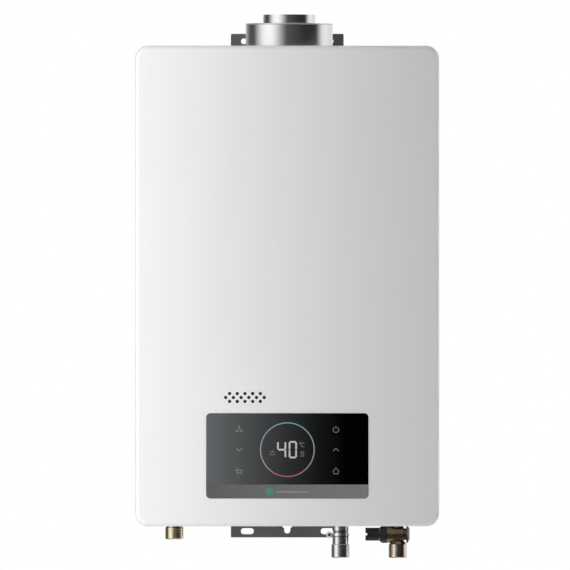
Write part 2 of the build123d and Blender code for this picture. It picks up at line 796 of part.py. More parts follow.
def tube_places():
    """The exchanger tubes' Y, from the back to the front."""
    return [STACK_Y + (TUBE_COUNT - 1 - 2 * i) / 2 * TUBE_PITCH for i in range(TUBE_COUNT)]


def stack_shell(low, high):
    """A duct's outer shape with a flange turned out at its top."""
    shell = slab_z(stack_outline(0, STACK_R), (low, high))
    return shell + slab_z(stack_outline(STACK_FLANGE, STACK_R), (high - STACK_WALL, high))


def stack_hollow(low, high):
    return slab_z(stack_outline(-STACK_WALL, STACK_R - STACK_WALL), (low, high))


def exchanger_shell():
    shell = stack_shell(BURNER_TOP, HOOD_BASE)
    shell += slab_z(stack_outline(STACK_FLANGE, STACK_R), (BURNER_TOP, BURNER_TOP + STACK_WALL))
    shell -= stack_hollow(BURNER_TOP, HOOD_BASE)
    return shell - [rod_x((STACK_LEFT, STACK_RIGHT), y, TUBE_Z, TUBE_R + TUBE_HOLE_GAP) for y in tube_places()]


def exchanger_fins():
    """Fins on straight tubes, which pass through the shell's ends."""
    half = STACK_W / 2 - STACK_WALL - FIN_PITCH
    count = 2 * int(half // FIN_PITCH) + 1
    y = (STACK_FRONT + STACK_WALL + FIN_GAP, STACK_BACK - STACK_WALL - FIN_GAP)
    high = HOOD_BASE - FIN_TOP_GAP
    fins = []
    for i in range(count):
        x = STACK_X + (i - (count - 1) / 2) * FIN_PITCH
        fins.append(block((x - FIN_T / 2, x + FIN_T / 2), y, (high - FIN_H, high)))
    x = (STACK_LEFT - TUBE_STUB, STACK_RIGHT + TUBE_STUB)
    tubes = [rod_x(x, y, TUBE_Z, TUBE_R) for y in tube_places()]
    bores = [rod_x(x, y, TUBE_Z, TUBE_R - TUBE_WALL) for y in tube_places()]
    return tubes[0] + (tubes[1:] + fins) - bores


def return_bend(end, back_y, way):
    """A half turn of tube between two exchanger tubes, outside the shell."""
    ring = Circle(TUBE_R) - Circle(TUBE_R - TUBE_WALL)
    section = Plane(origin=(end, back_y, TUBE_Z), z_dir=(way, 0, 0)) * ring
    return revolve(section, Axis((end, back_y - TUBE_PITCH / 2, TUBE_Z), (0, 0, -way)), 180)


def exchanger_bends():
    y = tube_places()
    left = [return_bend(STACK_LEFT - TUBE_STUB, y[i], -1) for i in range(0, TUBE_COUNT - 1, 2)]
    right = [return_bend(STACK_RIGHT + TUBE_STUB, y[i], 1) for i in range(1, TUBE_COUNT - 1, 2)]
    return left + right


def water_coil():
    """The tube that climbs from the flow sensor round the shell to the first exchanger tube."""
    away = COIL_GAP + TUBE_R
    left, right = STACK_LEFT - away, STACK_RIGHT + away
    front, back = STACK_FRONT - away, STACK_BACK + away
    end = STACK_RIGHT + TUBE_STUB
    out = end + COIL_END_REACH
    z = BURNER_TOP + COIL_RISE
    first_y = tube_places()[0]
    points = [(COLD_X, WATER_Y, SENSOR_END - SENSOR_PIPE_INSERT), (COLD_X, WATER_Y, z), (COLD_X, front, z)]
    for turn in range(COIL_TURNS):
        points += [(left, front, z), (left, back, z)]
        if turn < COIL_TURNS - 1:
            points += [(right, back, z), (right, front, z + COIL_PITCH)]
            z += COIL_PITCH
    points += [(out, back, z), (out, first_y, z), (out, first_y, TUBE_Z), (end, first_y, TUBE_Z)]
    bends = [STACK_R + away] * (len(points) - 5) + [COIL_END_BEND] * 3
    return tube(points, bends, TUBE_R, TUBE_WALL)


def overheat_switch():
    z = COIL_TOP + TUBE_R + SWITCH_COIL_GAP + SWITCH_R
    x = STACK_X + SWITCH_X
    can = rod_y(x, (STACK_FRONT - SWITCH_L, STACK_FRONT), z, SWITCH_R)
    blade_y = (STACK_FRONT - 2 * SWITCH_L, STACK_FRONT - SWITCH_L)
    for side in (-1, 1):
        blade_x = sorted((x + side * SWITCH_R / 4, x + side * SWITCH_R / 2))
        can += block(blade_x, blade_y, (z - SWITCH_R / 2, z + SWITCH_R / 2))
    return can


def bar_places():
    return [STACK_X + (i - (BAR_COUNT - 1) / 2) * BAR_PITCH for i in range(BAR_COUNT)]


def electrode_places():
    return [STACK_X + (i - 1) * ELECTRODE_SPACING for i in range(3)]


def fan_mouth():
    """The fan outlet's inner spans of X and Y."""
    x = (FAN_X + tongue_x() + FAN_WALL, FAN_X + SCROLL_R1 - FAN_WALL)
    return x, (FAN_FRONT, FAN_BACK - FAN_WALL)


def bar_base():
    return BURNER_BASE + STACK_WALL + LEDGE_H


def burner_box():
    """The box under the exchanger, with two ledges that carry the bars."""
    box = stack_shell(BURNER_BASE, BURNER_TOP) - stack_hollow(BURNER_BASE + STACK_WALL, BURNER_TOP)
    inner_x = (STACK_LEFT + STACK_WALL, STACK_RIGHT - STACK_WALL)
    ledge_z = (BURNER_BASE + STACK_WALL, bar_base())
    front = STACK_FRONT + STACK_WALL
    back = STACK_BACK - STACK_WALL
    mouth_x, mouth_y = fan_mouth()
    box += block((inner_x[0] + STACK_R, inner_x[1] - STACK_R), (front, front + LEDGE_W), ledge_z)
    box += block((inner_x[0] + STACK_R, inner_x[1] - STACK_R), (back - LEDGE_W, back), ledge_z)
    box -= block(mouth_x, mouth_y, (BURNER_BASE, BURNER_BASE + STACK_WALL))
    wall = (STACK_FRONT, front)
    jet_z = MANIFOLD_BASE + MANIFOLD_H / 2
    holes = [rod_y(x, wall, jet_z, JET_R + THREAD_GAP) for x in bar_places()]
    electrode_z = BURNER_TOP - ELECTRODE_DROP
    holes += [rod_y(x, wall, electrode_z, ELECTRODE_R + THREAD_GAP) for x in electrode_places()]
    return box - holes


def burner_bars():
    low = bar_base()
    y = (STACK_FRONT + STACK_WALL + BAR_GAP, STACK_BACK - STACK_WALL - BAR_GAP)
    bar = block((-BAR_T / 2, BAR_T / 2), y, (low, low + BAR_H))
    pitch = (y[1] - y[0]) / (BAR_SLOTS + 1)
    mouth_y = y[0] + pitch
    bar -= rod_y(0, (y[0], mouth_y), MANIFOLD_BASE + MANIFOLD_H / 2, JET_R + BAR_GAP)
    for i in range(BAR_SLOTS):
        slot_y = y[0] + (i + 1) * pitch
        slot = (slot_y - BAR_SLOT_W / 2, slot_y + BAR_SLOT_W / 2)
        bar -= block((-BAR_T / 2, BAR_T / 2), slot, (low + BAR_H - BAR_SLOT_H, low + BAR_H))
    return [Pos(x, 0, 0) * bar for x in bar_places()]


def burner_bracket():
    """A folded channel that carries the burner box on the back of the rear case."""
    x = (STACK_X - BURNER_BRACKET_W / 2, STACK_X + BURNER_BRACKET_W / 2)
    low = BURNER_BASE + BURNER_BRACKET_RISE
    high = low + BURNER_BRACKET_H
    channel = block(x, (STACK_BACK, INNER_BACK), (low, high))
    return channel - block(x, (STACK_BACK + STACK_WALL, INNER_BACK), (low + STACK_WALL, high - STACK_WALL))


def gas_manifold():
    half = STACK_W / 2 - MANIFOLD_INSET
    x = (STACK_X - half, STACK_X + half)
    y = (STACK_FRONT - MANIFOLD_D, STACK_FRONT)
    z = (MANIFOLD_BASE, MANIFOLD_BASE + MANIFOLD_H)
    bar = block(x, y, z)
    inner = [(span[0] + MANIFOLD_WALL, span[1] - MANIFOLD_WALL) for span in (x, y, z)]
    bar -= block(*inner)
    back = (inner[1][1], STACK_FRONT)
    ports = [rod_y(place, back, middle(z), JET_BORE_R) for place in bar_places()]
    inlet = rod_z(GAS_X + GAS_PIPE_SHIFT, MANIFOLD_Y, (MANIFOLD_BASE, inner[2][0]), GAS_PIPE_R - GAS_PIPE_WALL)
    return bar - ports - inlet


def gas_jets():
    z = MANIFOLD_BASE + MANIFOLD_H / 2
    span = (STACK_FRONT, STACK_FRONT + JET_L)
    return [rod_y(x, span, z, JET_R) - rod_y(x, span, z, JET_BORE_R) for x in bar_places()]


def electrode_insulators():
    z = BURNER_TOP - ELECTRODE_DROP
    span = (STACK_FRONT - ELECTRODE_OUT, STACK_FRONT + ELECTRODE_IN)
    rim = (STACK_FRONT - STACK_WALL, STACK_FRONT)
    bodies = []
    for x in electrode_places():
        body = rod_y(x, span, z, ELECTRODE_R) + rod_y(x, rim, z, ELECTRODE_R + STACK_WALL)
        bodies.append(body - rod_y(x, span, z, ROD_R + THREAD_GAP))
    return bodies


def electrode_rods():
    z = BURNER_TOP - ELECTRODE_DROP
    out = STACK_FRONT - ELECTRODE_OUT - ELECTRODE_IN
    return [rod_y(x, (out, STACK_FRONT + ELECTRODE_IN + ROD_L), z, ROD_R) for x in electrode_places()]


def tongue_x():
    return SCROLL_R0 * math.cos(math.radians(TONGUE_DEG))


def scroll_outline(inset, top):
    """A scroll that widens from the tongue round to the outlet, which points up."""
    left = tongue_x() + inset
    start = math.degrees(math.acos(left / (SCROLL_R0 - inset)))

    def at(degrees):
        share = (degrees - start) / (360 - start)
        radius = SCROLL_R0 + (SCROLL_R1 - SCROLL_R0) * share - inset
        return (FAN_X + radius * math.cos(math.radians(degrees)), FAN_Z + radius * math.sin(math.radians(degrees)))

    stops = [start, 180, 270, 360]
    edges = [ThreePointArc(at(a), at((a + b) / 2), at(b)) for a, b in zip(stops, stops[1:])]
    right = at(360)[0]
    edges.append(Line(at(360), (right, top)))
    edges.append(Line((right, top), (FAN_X + left, top)))
    edges.append(Line((FAN_X + left, top), at(start)))
    return make_face(Wire(edges))


def fan_housing():
    scroll = slab_y(scroll_outline(0, BURNER_BASE), (FAN_FRONT, FAN_BACK))
    scroll -= slab_y(scroll_outline(FAN_WALL, BURNER_BASE), (FAN_FRONT, FAN_BACK - FAN_WALL))
    return scroll - rod_y(FAN_X, (FAN_BACK - FAN_WALL, FAN_BACK), FAN_Z, SHAFT_R + SHAFT_HOLE_GAP)


def fan_inlet_plate():
    front = FAN_FRONT - FAN_WALL
    plate = slab_y(scroll_outline(0, BURNER_BASE), (front, FAN_FRONT))
    plate += rod_y(FAN_X, (front - EYE_RIM_H, front), FAN_Z, IMPELLER_EYE_R + EYE_RIM_T)
    return plate - rod_y(FAN_X, (front - EYE_RIM_H, FAN_FRONT), FAN_Z, IMPELLER_EYE_R)


def fan_motor():
    motor = rod_y(FAN_X, (FAN_BACK, FAN_BACK + MOTOR_L), FAN_Z, MOTOR_R)
    motor += rod_y(FAN_X, (FAN_BACK, FAN_BACK + MOTOR_FLANGE_T), FAN_Z, MOTOR_FLANGE_R)
    return motor - rod_y(FAN_X, (FAN_BACK, FAN_BACK + SHAFT_TAIL), FAN_Z, SHAFT_R + SHAFT_GAP)


def impeller_span():
    back = FAN_BACK - FAN_WALL - IMPELLER_BACK_GAP
    return (back - IMPELLER_W, back)


def fan_shaft():
    return rod_y(FAN_X, (impeller_span()[0], FAN_BACK + SHAFT_TAIL - SHAFT_GAP), FAN_Z, SHAFT_R)


def fan_impeller():
    front, back = impeller_span()
    hub = rod_y(FAN_X, (front, back), FAN_Z, IMPELLER_HUB_R)
    disc = rod_y(FAN_X, (back - IMPELLER_PLATE, back), FAN_Z, IMPELLER_R)
    ring_span = (front, front + IMPELLER_PLATE)
    ring = rod_y(FAN_X, ring_span, FAN_Z, IMPELLER_R) - rod_y(FAN_X, ring_span, FAN_Z, IMPELLER_EYE_R)
    reach = IMPELLER_R - IMPELLER_EYE_R
    blade = Box(reach, IMPELLER_W, BLADE_T)
    at_rim = Pos((IMPELLER_R + IMPELLER_EYE_R) / 2, 0, 0) * Rot(0, BLADE_LEAN_DEG, 0) * blade
    centre = Pos(FAN_X, middle((front, back)), FAN_Z)
    blades = [centre * Rot(0, 360 * i / BLADE_COUNT, 0) * at_rim for i in range(BLADE_COUNT)]
    return hub + ([disc, ring] + blades) - rod_y(FAN_X, (front, back), FAN_Z, SHAFT_R)


def gas_valve_body():
    x = (GAS_X - VALVE_W / 2, GAS_X + VALVE_W / 2)
    y = (GAS_Y - VALVE_D / 2, GAS_Y + VALVE_D / 2)
    body = block(x, y, (VALVE_BASE, VALVE_TOP))
    body = fillet(body.edges().filter_by(Axis.Z), VALVE_EDGE_R)
    cap_z = middle((VALVE_BASE, VALVE_TOP))
    body += rod_y(GAS_X, (y[0] - REGULATOR_L, y[0]), cap_z, REGULATOR_R)
    seat = VALVE_TOP - SEAT_DEPTH
    pipe_x = GAS_X + GAS_PIPE_SHIFT
    channel = middle((seat, VALVE_TOP))
    body -= rod_z(GAS_X, GAS_Y, (VALVE_BASE, VALVE_BASE + PORT_DEPTH), GAS_NECK_R + THREAD_GAP)
    body -= rod_z(GAS_X, GAS_Y, (VALVE_BASE, cap_z), GAS_BORE_R)
    body -= rod_z(SOLENOID_X, GAS_Y, (cap_z - SEAT_BORE_R, seat), SEAT_BORE_R)
    body -= rod_x((GAS_X, SOLENOID_X), GAS_Y, cap_z, SEAT_BORE_R)
    body -= rod_z(SOLENOID_X, GAS_Y, (seat, VALVE_TOP), CHAMBER_R)
    body -= rod_x((pipe_x, SOLENOID_X), GAS_Y, channel, SEAT_DEPTH / 4)
    return body - rod_z(pipe_x, GAS_Y, (channel - SEAT_DEPTH / 4, VALVE_TOP), GAS_PIPE_R - GAS_PIPE_WALL)


def plunger_top():
    return VALVE_TOP - SEAT_DEPTH + PLUNGER_L


def gas_solenoid():
    can = rod_z(SOLENOID_X, GAS_Y, (VALVE_TOP, VALVE_TOP + SOLENOID_H), SOLENOID_R)
    bore = (VALVE_TOP, plunger_top() + SPRING_ROOM)
    return can - rod_z(SOLENOID_X, GAS_Y, bore, PLUNGER_R + PLUNGER_GAP)


def gas_plunger():
    seat = VALVE_TOP - SEAT_DEPTH
    disc = rod_z(SOLENOID_X, GAS_Y, (seat, seat + VALVE_DISC_T), VALVE_DISC_R)
    return disc + rod_z(SOLENOID_X, GAS_Y, (seat, plunger_top()), PLUNGER_R)


def plunger_spring():
    """The coil that presses the plunger onto its seat."""
    height = SPRING_ROOM - 2 * SPRING_WIRE_R - 2 * SPRING_END_GAP
    base = plunger_top() + SPRING_WIRE_R + SPRING_END_GAP
    path = Pos(SOLENOID_X, GAS_Y, base) * Helix(height / SPRING_TURNS, height, SPRING_R)
    section = Plane(origin=path @ 0, z_dir=path % 0) * Circle(SPRING_WIRE_R)
    return sweep(section, path=path, is_frenet=True)


def thread_end(x, y, z, radius):
    """A pipe thread's plain cylinder with a chamfer at its lower end."""
    end = rod_z(x, y, z, radius)
    return chamfer(end.edges().sort_by(Axis.Z)[0], THREAD_CHAMFER)


def gas_inlet():
    low = BOTTOM - GAS_DROP
    inlet = thread_end(GAS_X, GAS_Y, (low, low + GAS_THREAD_L), PIPE_THREAD_R)
    inlet += rod_z(GAS_X, GAS_Y, (low, VALVE_BASE + PORT_DEPTH), GAS_NECK_R)
    flange = (INNER_BOTTOM, INNER_BOTTOM + FITTING_FLANGE_T)
    inlet += rod_z(GAS_X, GAS_Y, flange, FITTING_FLANGE_R)
    groove_top = BOTTOM - GAS_GROOVE_DROP
    groove = (groove_top - GAS_GROOVE_H, groove_top)
    inlet -= ring_z(GAS_X, GAS_Y, groove, GAS_NECK_R + GAS_GROOVE_DEPTH, GAS_NECK_R - GAS_GROOVE_DEPTH)
    return inlet - rod_z(GAS_X, GAS_Y, (low, VALVE_BASE + PORT_DEPTH), GAS_BORE_R)


def gas_clip():
    """A spring washer on the gas inlet's neck, with an upright ear on its left."""
    z = BOTTOM - CLIP_DROP
    x = GAS_X - EAR_REACH
    clip = rod_z(GAS_X, GAS_Y, (z - CLIP_T / 2, z + CLIP_T / 2), CLIP_R)
    clip += rod_y(x, (GAS_Y - CLIP_T / 2, GAS_Y + CLIP_T / 2), z, EAR_R)
    clip -= rod_z(GAS_X, GAS_Y, (z - EAR_R, z + EAR_R), GAS_NECK_R + CLIP_GAP)
    return clip - rod_y(x, (GAS_Y - CLIP_R, GAS_Y + CLIP_R), z, EAR_HOLE_R)


def gas_outlet_pipe():
    x = GAS_X + GAS_PIPE_SHIFT
    half_way = middle((VALVE_TOP, MANIFOLD_BASE))
    climb = GAS_PIPE_CLIMB / 2
    points = [(x, GAS_Y, VALVE_TOP), (x, GAS_Y, half_way - climb)]
    points += [(x, MANIFOLD_Y, half_way + climb), (x, MANIFOLD_Y, MANIFOLD_BASE)]
    return tube(points, [GAS_PIPE_BEND] * 2, GAS_PIPE_R, GAS_PIPE_WALL)


def cold_inlet_body():
    """A brass cross: thread below, riser above, drain plug on the left and end plug on the right."""
    low = BOTTOM - COLD_DROP
    riser_top = SENSOR_BASE + SENSOR_INSERT
    body = rod_x((COLD_LEFT, COLD_RIGHT), WATER_Y, COLD_AXIS_Z, COLD_BODY_R)
    body += rod_x((COLD_LEFT - SPIGOT_L, COLD_LEFT), WATER_Y, COLD_AXIS_Z, SPIGOT_R)
    body += thread_end(COLD_X, WATER_Y, (low, low + COLD_THREAD_L), PIPE_THREAD_R)
    body += rod_z(COLD_X, WATER_Y, (low, INNER_BOTTOM), COLD_NECK_R)
    shoulder_z = low + COLD_THREAD_L + COLD_SHOULDER_H / 2
    body += Pos(COLD_X, WATER_Y, shoulder_z) * Cone(COLD_SHOULDER_R, COLD_NECK_R, COLD_SHOULDER_H)
    body += rod_z(COLD_X, WATER_Y, (INNER_BOTTOM, riser_top), COLD_RISER_R)
    flange = (INNER_BOTTOM, INNER_BOTTOM + FITTING_FLANGE_T)
    body += rod_z(COLD_X, WATER_Y, flange, FITTING_FLANGE_R)
    body -= rod_x((COLD_LEFT - SPIGOT_L, COLD_RIGHT), WATER_Y, COLD_AXIS_Z, STRAINER_BORE_R)
    return body - rod_z(COLD_X, WATER_Y, (low, riser_top), COLD_BORE_R)


def end_plug():
    """The plug in the inlet body's right end: a spigot, a neck and a hexagon head with a tapered face."""
    neck = (COLD_RIGHT - PLUG_SPIGOT_L, COLD_RIGHT + PLUG_NECK_L)
    rim = (neck[1], neck[1] + PLUG_RIM_T)
    end = COLD_RIGHT + PLUG_L
    plane = Plane(origin=(neck[1], WATER_Y, COLD_AXIS_Z), x_dir=(0, 1, 0), z_dir=(1, 0, 0))
    head = extrude(plane * RegularPolygon(PLUG_AF / 2, 6, major_radius=False), amount=end - neck[1])
    corner_r = PLUG_AF / math.sqrt(3)
    taper = Rot(0, 90, 0) * Cone(corner_r, PLUG_FACE_R, end - rim[1])
    crown = rod_x(rim, WATER_Y, COLD_AXIS_Z, corner_r) + Pos(middle((rim[1], end)), WATER_Y, COLD_AXIS_Z) * taper
    plug = (head & crown) + rod_x(neck, WATER_Y, COLD_AXIS_Z, PLUG_NECK_R)
    return plug + rod_x((neck[0], COLD_RIGHT), WATER_Y, COLD_AXIS_Z, PLUG_SPIGOT_R)


def drain_nut():
    """The black nut on the inlet body's left end, which the drain stem screws through."""
    nut = rod_x((NUT_LEFT, COLD_LEFT), WATER_Y, COLD_AXIS_Z, DRAIN_NUT_R)
    nut = chamfer(nut.edges().sort_by(Axis.X)[0], DRAIN_NUT_CHAMFER)
    nut -= rod_x((COLD_LEFT - SPIGOT_L, COLD_LEFT), WATER_Y, COLD_AXIS_Z, SPIGOT_R + THREAD_GAP)
    return nut - rod_x((NUT_LEFT, COLD_LEFT), WATER_Y, COLD_AXIS_Z, STEM_R + STEM_GAP)


def piston_left():
    return COLD_LEFT - SPIGOT_L + DRAIN_TRAVEL + PISTON_GAP


def seal_places():
    centre = piston_left() + PISTON_L / 2
    return [centre - SEAL_PITCH / 2, centre + SEAL_PITCH / 2]


def seal_ring(x, outer):
    span = (x - SEAL_W / 2, x + SEAL_W / 2)
    ring = rod_x(span, WATER_Y, COLD_AXIS_Z, outer)
    return ring - rod_x(span, WATER_Y, COLD_AXIS_Z, PISTON_R - SEAL_DEPTH)


def drain_stem():
    left = KNOB_RIGHT - KNOB_SOCKET_DEPTH
    piston = (piston_left(), piston_left() + PISTON_L)
    stem = rod_x((left, piston[0]), WATER_Y, COLD_AXIS_Z, STEM_R)
    stem += rod_x(piston, WATER_Y, COLD_AXIS_Z, PISTON_R)
    return stem - [seal_ring(x, PISTON_R + SEAL_DEPTH) for x in seal_places()]


def drain_seals():
    return [seal_ring(x, SEAL_R) for x in seal_places()]


def inlet_strainer():
    """A perforated sleeve that comes out with the drain stem."""
    left = piston_left() + PISTON_L
    right = COLD_RIGHT - PLUG_SPIGOT_L - STRAINER_END_GAP
    span = (left, right)
    sleeve = rod_x(span, WATER_Y, COLD_AXIS_Z, STRAINER_R)
    sleeve -= rod_x(span, WATER_Y, COLD_AXIS_Z, STRAINER_R - STRAINER_WALL)
    hole = Pos(0, 0, STRAINER_R) * Cylinder(STRAINER_HOLE_R, STRAINER_R)
    holes = []
    for row in range(STRAINER_ROWS):
        x = left + (right - left) * (row + 1) / (STRAINER_ROWS + 1)
        for i in range(STRAINER_HOLES):
            holes.append(Pos(x, WATER_Y, COLD_AXIS_Z) * Rot(360 * i / STRAINER_HOLES, 0, 0) * hole)
    return sleeve - holes


def drain_knob():
    """The black knob: fluted sides, notched rim and a cupped end."""
    knob = rod_x((KNOB_LEFT, KNOB_RIGHT), WATER_Y, COLD_AXIS_Z, KNOB_R)
    knob -= rod_x((KNOB_LEFT, KNOB_LEFT + KNOB_CUP_DEPTH), WATER_Y, COLD_AXIS_Z, KNOB_CUP_R)
    socket = (KNOB_RIGHT - KNOB_SOCKET_DEPTH - KNOB_SOCKET_GAP, KNOB_RIGHT)
    knob -= rod_x(socket, WATER_Y, COLD_AXIS_Z, STEM_R + KNOB_SOCKET_GAP)
    centre = Pos(0, WATER_Y, COLD_AXIS_Z)
    reach = KNOB_R - KNOB_CUP_R
    notch_x = (KNOB_LEFT, KNOB_LEFT + KNOB_NOTCH_DEPTH)
    half = KNOB_NOTCH_W / 2
    notch = block(notch_x, (-half, half), (KNOB_CUP_R - reach, KNOB_R + reach))
    cuts = [centre * Rot(360 * (i + 0.5) / KNOB_NOTCHES, 0, 0) * notch for i in range(KNOB_NOTCHES)]
    flute = rod_x((KNOB_LEFT, KNOB_RIGHT - reach), 0, KNOB_R, KNOB_FLUTE_R)
    cuts += [centre * Rot(360 * i / KNOB_FLUTES, 0, 0) * flute for i in range(KNOB_FLUTES)]
    return knob - cuts


def sensor_bore_r():
    return COLD_RISER_R + SENSOR_BORE_GAP


def spider_spans():
    """The two cross bars that hold the turbine's journals."""
    low = SENSOR_BASE + SENSOR_INSERT + SPIDER_GAP
    high = SENSOR_END - SENSOR_TOP
    return (low, low + SPIDER_T), (high - SPIDER_T, high)


def flow_sensor():
    bore_top = SENSOR_END - SENSOR_TOP
    body = rod_z(COLD_X, WATER_Y, (SENSOR_BASE, SENSOR_END), SENSOR_R)
    middle_z = middle((SENSOR_BASE, SENSOR_END))
    hall_y = (WATER_Y - SENSOR_R - HALL_D / 2, WATER_Y - SENSOR_R + HALL_D / 2)
    hall_z = (middle_z - HALL_H / 2, middle_z + HALL_H / 2)
    body += block((COLD_X - HALL_W / 2, COLD_X + HALL_W / 2), hall_y, hall_z)
    body -= rod_z(COLD_X, WATER_Y, (SENSOR_BASE, bore_top), sensor_bore_r())
    body -= rod_z(COLD_X, WATER_Y, (bore_top, SENSOR_END), TUBE_R + TUBE_HOLE_GAP)
    reach = sensor_bore_r() + SPIDER_GAP
    half = SPIDER_T / 2
    for span in spider_spans():
        body += block((COLD_X - reach, COLD_X + reach), (WATER_Y - half, WATER_Y + half), span)
        body -= rod_z(COLD_X, WATER_Y, span, JOURNAL_R + JOURNAL_GAP)
    return body


def flow_turbine():
    low, high = spider_spans()
    span = (low[1] + TURBINE_GAP, high[0] - TURBINE_GAP)
    turbine = rod_z(COLD_X, WATER_Y, span, TURBINE_HUB_R)
    turbine += rod_z(COLD_X, WATER_Y, (span[0] - JOURNAL_L, span[1] + JOURNAL_L), JOURNAL_R)
    half = TURBINE_BLADE_T / 2
    blade = block((0, TURBINE_R), (-half, half), span)
    for i in range(TURBINE_BLADES):
        turbine += Pos(COLD_X, WATER_Y, 0) * Rot(0, 0, 360 * i / TURBINE_BLADES) * blade
    return turbine


def hot_outlet():
    low = BOTTOM - HOT_DROP
    top = INNER_BOTTOM + HOT_COLLAR_H
    outlet = thread_end(HOT_X, WATER_Y, (low, BOTTOM - HOT_NECK_L), PIPE_THREAD_R)
    outlet += rod_z(HOT_X, WATER_Y, (low, INNER_BOTTOM), HOT_NECK_R)
    outlet += rod_z(HOT_X, WATER_Y, (INNER_BOTTOM, INNER_BOTTOM + FITTING_FLANGE_T), FITTING_FLANGE_R)
    outlet += rod_z(HOT_X, WATER_Y, (INNER_BOTTOM, top), HOT_COLLAR_R)
    outlet -= rod_z(HOT_X, WATER_Y, (low, top), HOT_BORE_R)
    return outlet - rod_z(HOT_X, WATER_Y, (top - PIPE_SOCKET, top), TUBE_R + PIPE_SOCKET_GAP)


def hot_pipe():
    """The tube from the last exchanger tube down the left side to the hot outlet."""
    last_y = tube_places()[-1]
    jog = BURNER_TOP - HOT_JOG_DROP
    points = [(STACK_LEFT - TUBE_STUB, last_y, TUBE_Z), (HOT_X, last_y, TUBE_Z), (HOT_X, last_y, jog)]
    points.append((HOT_X, WATER_Y, jog - HOT_JOG_H))
    points.append((HOT_X, WATER_Y, INNER_BOTTOM + HOT_COLLAR_H - PIPE_SOCKET))
    return tube(points, [HOT_BEND] * 3, TUBE_R, TUBE_WALL)


def pipe_grommets():
    rings = []
    for x, y, neck in fittings():
        sleeve = neck + GROMMET_WALL
        grommet = rod_z(x, y, (REAR_BOTTOM, INNER_BOTTOM), sleeve)
        grommet += rod_z(x, y, (REAR_BOTTOM - GROMMET_RIM_T, REAR_BOTTOM), sleeve + GROMMET_RIM)
        rings.append(grommet - rod_z(x, y, (BOTTOM, INNER_BOTTOM), neck + GROMMET_GAP))
    return rings


def cord_grommet():
    y = BACK - CORD_SETBACK
    rim = (REAR_BOTTOM - CORD_RIM_T, REAR_BOTTOM)
    grommet = rod_z(CORD_X, y, (REAR_BOTTOM, INNER_BOTTOM), CORD_NECK_R)
    grommet += rod_z(CORD_X, y, rim, CORD_RIM_R)
    grommet += rod_z(CORD_X, y, (rim[0] - CORD_BOSS_L, rim[0]), CORD_BOSS_R)
    return grommet - rod_z(CORD_X, y, (rim[0] - CORD_BOSS_L, INNER_BOTTOM), CORD_BORE_R)


def box_spans():
    """The control box tray's outer spans, against the left wall and behind the lip."""
    front = LIP_BACK + BOX_LIP_GAP + BOX_LID_T
    low = BOTTOM + BOX_RISE
    return (-INNER_HALF_W, -INNER_HALF_W + BOX_W), (front, front + BOX_D), (low, low + BOX_H)


def box_post_places():
    x, y, z = box_spans()
    inset = BOX_WALL + BOX_POST_INSET
    return [(px, pz) for px in (x[0] + inset, x[1] - inset) for pz in (z[0] + inset, z[1] - inset)]


def control_box():
    x, y, z = box_spans()
    back = y[1] - BOX_WALL
    inner_x = (x[0] + BOX_WALL, x[1] - BOX_WALL)
    tray = block(x, y, z) - block(inner_x, (y[0], back), (z[0] + BOX_WALL, z[1] - BOX_WALL))
    posts = [rod_y(px, (back - BOX_POST_L, back), pz, BOX_POST_R) for px, pz in box_post_places()]
    return tray + posts


def control_lid():
    x, y, z = box_spans()
    return block(x, (y[0] - BOX_LID_T, y[0]), z)


def control_board():
    x, y, z = box_spans()
    face = y[1] - BOX_WALL - BOX_POST_L
    inset = BOX_WALL + BOX_BOARD_GAP
    front = face - BOARD_T
    board = block((x[0] + inset, x[1] - inset), (front, face), (z[0] + inset, z[1] - inset))
    low = z[0] + inset + BOX_POST_INSET
    left = x[0] + inset + BOX_POST_INSET
    board += block((left, left + TRANSFORMER_W), (front - TRANSFORMER_D, front), (low, low + TRANSFORMER_H))
    low += TRANSFORMER_H + BOX_POST_INSET
    for i in range(2):
        relay_x = left + i * (RELAY_W + BOX_POST_INSET)
        board += block((relay_x, relay_x + RELAY_W), (front - RELAY_D, front), (low, low + RELAY_H))
    return board


def spark_igniter():
    back = INNER_BACK - IGNITER_BACK_GAP
    low = BOTTOM + IGNITER_RISE
    body = block((INNER_HALF_W - IGNITER_W, INNER_HALF_W), (back - IGNITER_D, back), (low, low + IGNITER_H))
    return fillet(body.faces().sort_by(Axis.X)[0].edges(), IGNITER_EDGE_R)


NODES = [
    rear_case, top_wall_bracket, bottom_wall_bracket, bracket_screws, pipe_grommets, cord_grommet,
    front_cover, cover_frame, cover_gasket, cover_screws, panel_glass, panel_band, display_housing,
    display_board, alarm_speaker, air_collar, flue_gasket, flue_screws, flue_pipe, flue_spacer,
    flue_hood, exchanger_shell, exchanger_fins, exchanger_bends, water_coil, overheat_switch,
    burner_box, burner_bars, burner_bracket, gas_manifold, gas_jets, electrode_insulators,
    electrode_rods, fan_housing, fan_inlet_plate, fan_motor, fan_shaft, fan_impeller,
    gas_valve_body, gas_solenoid, gas_plunger, plunger_spring, gas_inlet, gas_clip,
    gas_outlet_pipe, cold_inlet_body, end_plug, drain_nut, drain_stem, drain_seals,
    inlet_strainer, drain_knob, flow_sensor, flow_turbine, hot_outlet, hot_pipe,
    control_box, control_lid, control_board, spark_igniter,
]

os.makedirs("parts", exist_ok=True)
for node in NODES:
    made = node()
    shapes = made if isinstance(made, list) else [made]
    solids = [solid for shape in shapes for solid in shape.solids()]
    export_step(Compound(children=solids), "parts/" + node.__name__ + ".step")
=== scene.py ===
import json
import math

import bmesh
import bpy
from mathutils import Matrix, Vector


